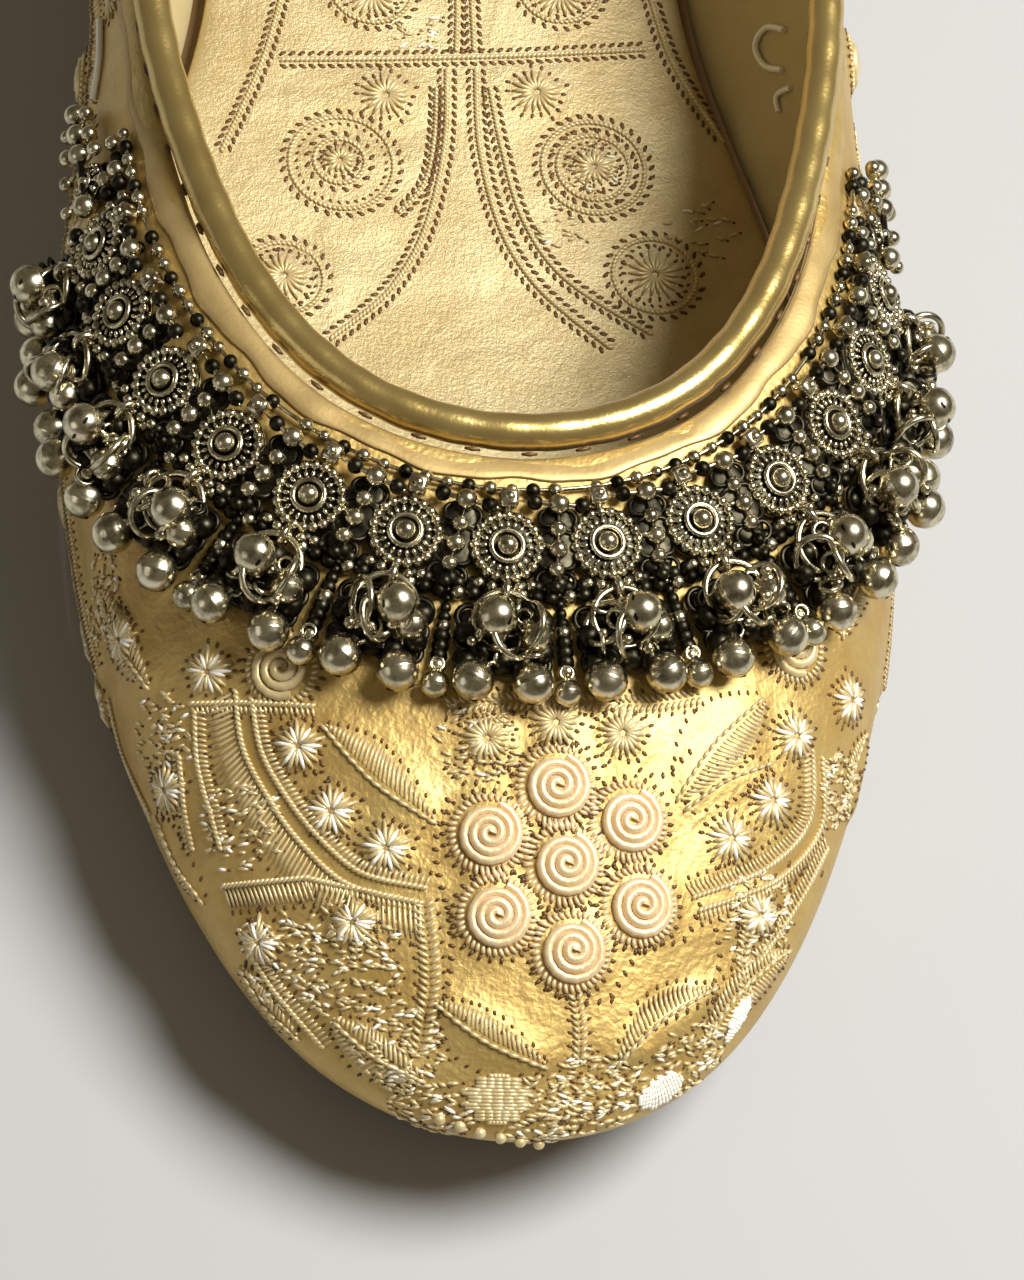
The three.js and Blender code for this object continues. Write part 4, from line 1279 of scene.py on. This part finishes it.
for side, name, number in ((-1, "left", LINKS[0]), (1, "right", LINKS[-1])):
    trim_piece(f"chain_end_{name}", moved(end_parts(side), plane_of(f"trim_end_{name}", along_chain[number])),
               replaces=[f"trim_end_{name}"])

# %% [markdown]
# A tassel is a jump ring in the link's eye with three round bells and a little one, over curled rings,
# small loose rings and beads. Under it lie a mat of dark rings and large dark beads: painted shade under
# the bells. It is laid out in the frame of its hinge: x along the hinge, and the bells away from it where
# the CAD tassel has them. It rides on its own body and swings with it.

# %% Tassels
RING_MIDDLE = Vector((0, -JUMP_RADIUS, 0))
HANG = 4.0
INNER_BELL = {"aside": 1.2, "ahead": 3.6, "up": 2.7, "angle": 1.4}
LITTLE_BELL = {"middle": (3.1, -4.9, 1.0), "size": 0.78, "neck": (-1, 1.6, 0)}
FAR_END, BELL_ZONE = 1.2 * MM, 3 * MM
CURLS = 3
SMALL_LINKS = {"count": 10, "low": (-3.7, -7.8, -0.4), "high": (3.7, -1.8, 1.6)}
SMALL_BEADS = {"count": 8, "low": (-3.6, -7.2, 0.2), "high": (3.6, -2.2, 2.2)}
# Painted shade under the bells: large dark beads, across and along, and a mat of dark rings with flattened
# dark beads in them.
SHADE_BEADS = [(3.9, -3.1), (3.9, -6.1), (-3.9, -4.6), (-3.8, -7.6), (-1.2, -4.6), (1.4, -5.0), (0, -7.4),
              (-2.4, -6.4), (0, -2.2), (2.0, -7.6), (-2.2, -2.9)]
SHADE_MAT = {"across": (-3.6, -1.2, 1.2, 3.6), "along": (-2.6, -4.9, -7.2), "low": -1.25, "ring": 1.25,
       "granule": 0.9}
# A bell hangs by the ring on its z axis and has a dark slit at its far end.
WHOLE_BELL = [bead(BELL, (0, 0, 0)), wire((-1.5, 0, -1.72), (1.5, 0, -1.72), 0.42, DARK),
              (SMALL_RING, Matrix.Translation((0, 0, 3.1)) @ Matrix.Rotation(pi / 2, 4, "X"), RUBBED)]


def hinge_frame(number):
    """The frame of a tassel at its hinge, aimed at the CAD's bells, and how far aside these hang."""
    pivot = Vector(hinges[f"tassel_{number}"]["pos_m"])
    x = along_chain[number].normalized()
    points = [v.co - pivot for v in frame["nodes"][f"bell_tassel_{number}"].data.vertices]
    flat = [p - x * p.dot(x) for p in points]
    far = max(p.length for p in flat)
    down = sum((p for p in flat if p.length > far - FAR_END), Vector()).normalized()
    aside = max(p.dot(x) for p, f in zip(points, flat) if f.length > far - BELL_ZONE) / MM - BELL_RADIUS
    turn = Matrix((x, -down, x.cross(-down))).transposed().to_4x4()
    return Matrix.Translation(pivot) @ turn @ Matrix.Scale(MM, 4), aside


def bell(centre, neck):
    """A bell about a centre with its loop towards the neck."""
    return moved(WHOLE_BELL, Matrix.Translation(centre) @ aimed(neck - centre))


def beyond_ring(angle, distance):
    """A point on the jump ring's plane, at an angle from straight ahead and a distance past its wire."""
    return RING_MIDDLE + Vector((sin(angle), -cos(angle), 0)) * (JUMP_RADIUS + distance)


def strewn(area):
    """A place between the two corners of an area."""
    return Vector([random.uniform(a, b) for a, b in zip(area["low"], area["high"])])


def tassel_parts(aside, side):
    """One tassel's parts in its hinge's frame."""
    parts = [bead(JUMP_RING, RING_MIDDLE)]
    for hand in (-1, 1):
        angle = hand * asin(min(aside / (JUMP_RADIUS + HANG), 0.9))
        parts += bell(beyond_ring(angle, HANG), beyond_ring(angle, 0))
    inner_place = Vector((side * INNER_BELL["aside"], -INNER_BELL["ahead"], INNER_BELL["up"]))
    parts += bell(inner_place, beyond_ring(side * INNER_BELL["angle"], 0))
    little = Matrix.Translation(LITTLE_BELL["middle"]) @ Matrix.Scale(LITTLE_BELL["size"], 4)
    parts += moved(bell(Vector(), Vector(LITTLE_BELL["neck"])), little)
    # Painted shade under the bells: a mat of dark rings, each with a flattened dark bead in it, and larger
    # dark beads.
    for x in SHADE_MAT["across"]:
        for y in SHADE_MAT["along"]:
            parts.append(bead(SMALL_RING, (x, y, SHADE_MAT["low"]), SHADE_MAT["ring"], DARK))
            parts.append(bead(GRANULE, (x, y, SHADE_MAT["low"]), SHADE_MAT["granule"], DARK, flat=0.6))
    for x, y in SHADE_BEADS:
        parts.append(bead(GRANULE, (x, y, -0.6), 1.35, DARK))
    for i in range(CURLS):
        odd = i % 2
        middle = ((i - 1) * 2.0 - side * 0.4, -3.9 - 1.4 * odd, 1.1 + 0.5 * odd)
        turn = Matrix.Rotation(random.uniform(0.7, 1.3) * (1 if odd else -1), 4, "Y")
        spin = Matrix.Rotation(random.uniform(-0.6, 0.6), 4, "Z")
        parts.append((CURL_RING, Matrix.Translation(middle) @ spin @ turn, RUBBED))
    for i in range(SMALL_LINKS["count"]):
        middle = strewn(SMALL_LINKS)
        turn = Matrix.Rotation(random.uniform(0, pi), 4, "X") @ Matrix.Rotation(random.uniform(0, pi), 4, "Y")
        parts.append((SMALL_RING, Matrix.Translation(middle) @ turn, RUBBED if i % 3 else DARK))
    for _ in range(SMALL_BEADS["count"]):
        parts.append(bead(GRANULE, strewn(SMALL_BEADS), random.uniform(0.5, 0.75)))
    return parts


random.seed(3)
tassel_frames = [hinge_frame(number) for number in LINKS]
for i, (number, (base, aside)) in enumerate(zip(LINKS, tassel_frames)):
    parts = moved(tassel_parts(aside, 1 if i % 2 else -1), base)
    trim_piece(f"bells_{number}", parts, body=f"tassel_{number}", replaces=[f"bell_tassel_{number}"])

# %% [markdown]
# The tassels fan out round the toe, and in the gaps between them the fringe goes on with small bells and
# dark beads. These are sewn down, so they ride on the shoe. Each fits the room that its two neighbours
# leave. The dark beads in the gaps, and the beads under each eye, most of them dark, are painted shade on
# the leather under the trim.

# %% Fringe between the tassels
GAP_BELL = {"distance": 10.7, "largest": 1.6, "lift": 0.1}
GAP_BEADS = {"distances": np.arange(-0.9, 9.2, 1.05), "largest": 0.95, "smallest": 0.28}
RING_HALF_WIDTH, TASSEL_HALF_WIDTH = 3.6, 5.3
TASSEL_STARTS = 1.0
CLEARANCE = 0.15
UNDER_EYE = {"across": (-4.9, -3.3, -1.7, 1.7, 3.3, 4.9), "along": (-1.0, 0.0), "size": 0.85}


def sewn(place, normal, size, metal):
    """A bead of a size in mm that lies on the leather."""
    return bead(GRANULE, place + normal * size * MM, size * MM, metal)


def gap_place(one, other, distance):
    """The leather midway between two tassels, its normal and half the room in mm, past their hinges."""
    a, b = one @ Vector((0, -distance, 0)), other @ Vector((0, -distance, 0))
    return *upper_ground.near((a + b) / 2), (a - b).length / 2 / MM


# Mostly dark beads in the gaps: painted shade on the leather under the trim.
fringe = []
for (one, aside), (other, next_aside) in zip(tassel_frames, tassel_frames[1:]):
    for i, distance in enumerate(GAP_BEADS["distances"]):
        place, normal, room = gap_place(one, other, distance)
        taken = RING_HALF_WIDTH if distance + GAP_BEADS["largest"] < TASSEL_STARTS else TASSEL_HALF_WIDTH
        size = min(room - taken - CLEARANCE, GAP_BEADS["largest"])
        if size > GAP_BEADS["smallest"]:
            fringe.append(sewn(place, normal, size, RUBBED if i % 4 == 1 else DARK))
    place, normal, room = gap_place(one, other, GAP_BELL["distance"])
    size = min(room - max(aside, next_aside) - BELL_RADIUS - CLEARANCE, GAP_BELL["largest"])
    print("gap", round(room, 2), "bell", round(size, 2))
    if size > GAP_BEADS["smallest"]:
        turn = aimed(gap_place(one, other, 0)[0] - place) @ Matrix.Scale(size / BELL_RADIUS * MM, 4)
        lifted = place + normal * (size + GAP_BELL["lift"]) * MM
        fringe += moved(WHOLE_BELL, Matrix.Translation(lifted) @ turn)
# Beads under each eye, mostly dark: painted shade under the trim.
for base, _ in tassel_frames:
    for i, x in enumerate(UNDER_EYE["across"]):
        for y in UNDER_EYE["along"]:
            place, normal = upper_ground.near(base @ Vector((x, -y, 0)))
            fringe.append(sewn(place, normal, UNDER_EYE["size"], RUBBED if i % 3 == 0 and y == 0 else DARK))
trim_piece("fringe_bells", fringe)

# %% [markdown]
# A plain pale floor and soft studio light: one large soft box above and to the right of the picture, a
# weaker one to the left, and a pale room all round for the metal to mirror.

# %% Floor and light
FLOOR_HALF = 3
ROOM_STRENGTH = 0.2

floor_bm = bmesh.new()
bmesh.ops.create_grid(floor_bm, x_segments=1, y_segments=1, size=FLOOR_HALF)
floor = bpy.data.objects.new("floor", mesh_from(floor_bm, "floor"))
bpy.context.scene.collection.objects.link(floor)
# Studio background paper: matt and nearly neutral.
paper, _, _ = start("pale paper", {"Roughness": 0.9, "Base Color": linear("#b0b0ae")})
floor.data.materials.append(paper)

room = bpy.data.worlds.new("room")
room.use_nodes = True
room.node_tree.nodes["Background"].inputs["Color"].default_value = linear("#dccfb2")
room.node_tree.nodes["Background"].inputs["Strength"].default_value = ROOM_STRENGTH
bpy.context.scene.world = room


def soft_box(name, place, size, energy):
    """A round light that looks at the shoe."""
    light = bpy.data.lights.new(name, "AREA")
    light.shape = "DISK"
    light.size = size
    light.energy = energy
    obj = bpy.data.objects.new(name, light)
    obj.matrix_world = Matrix.Translation(place) @ aimed(place - TARGET)
    bpy.context.scene.collection.objects.link(obj)


soft_box("key", TARGET + right * 0.47 + top * 0.385 + back * 0.53, 0.42, 11.6)
soft_box("fill", TARGET - right * 0.7 - top * 0.1 + back * 0.5, 0.5, 0.5)
print("lights", len(bpy.data.lights))
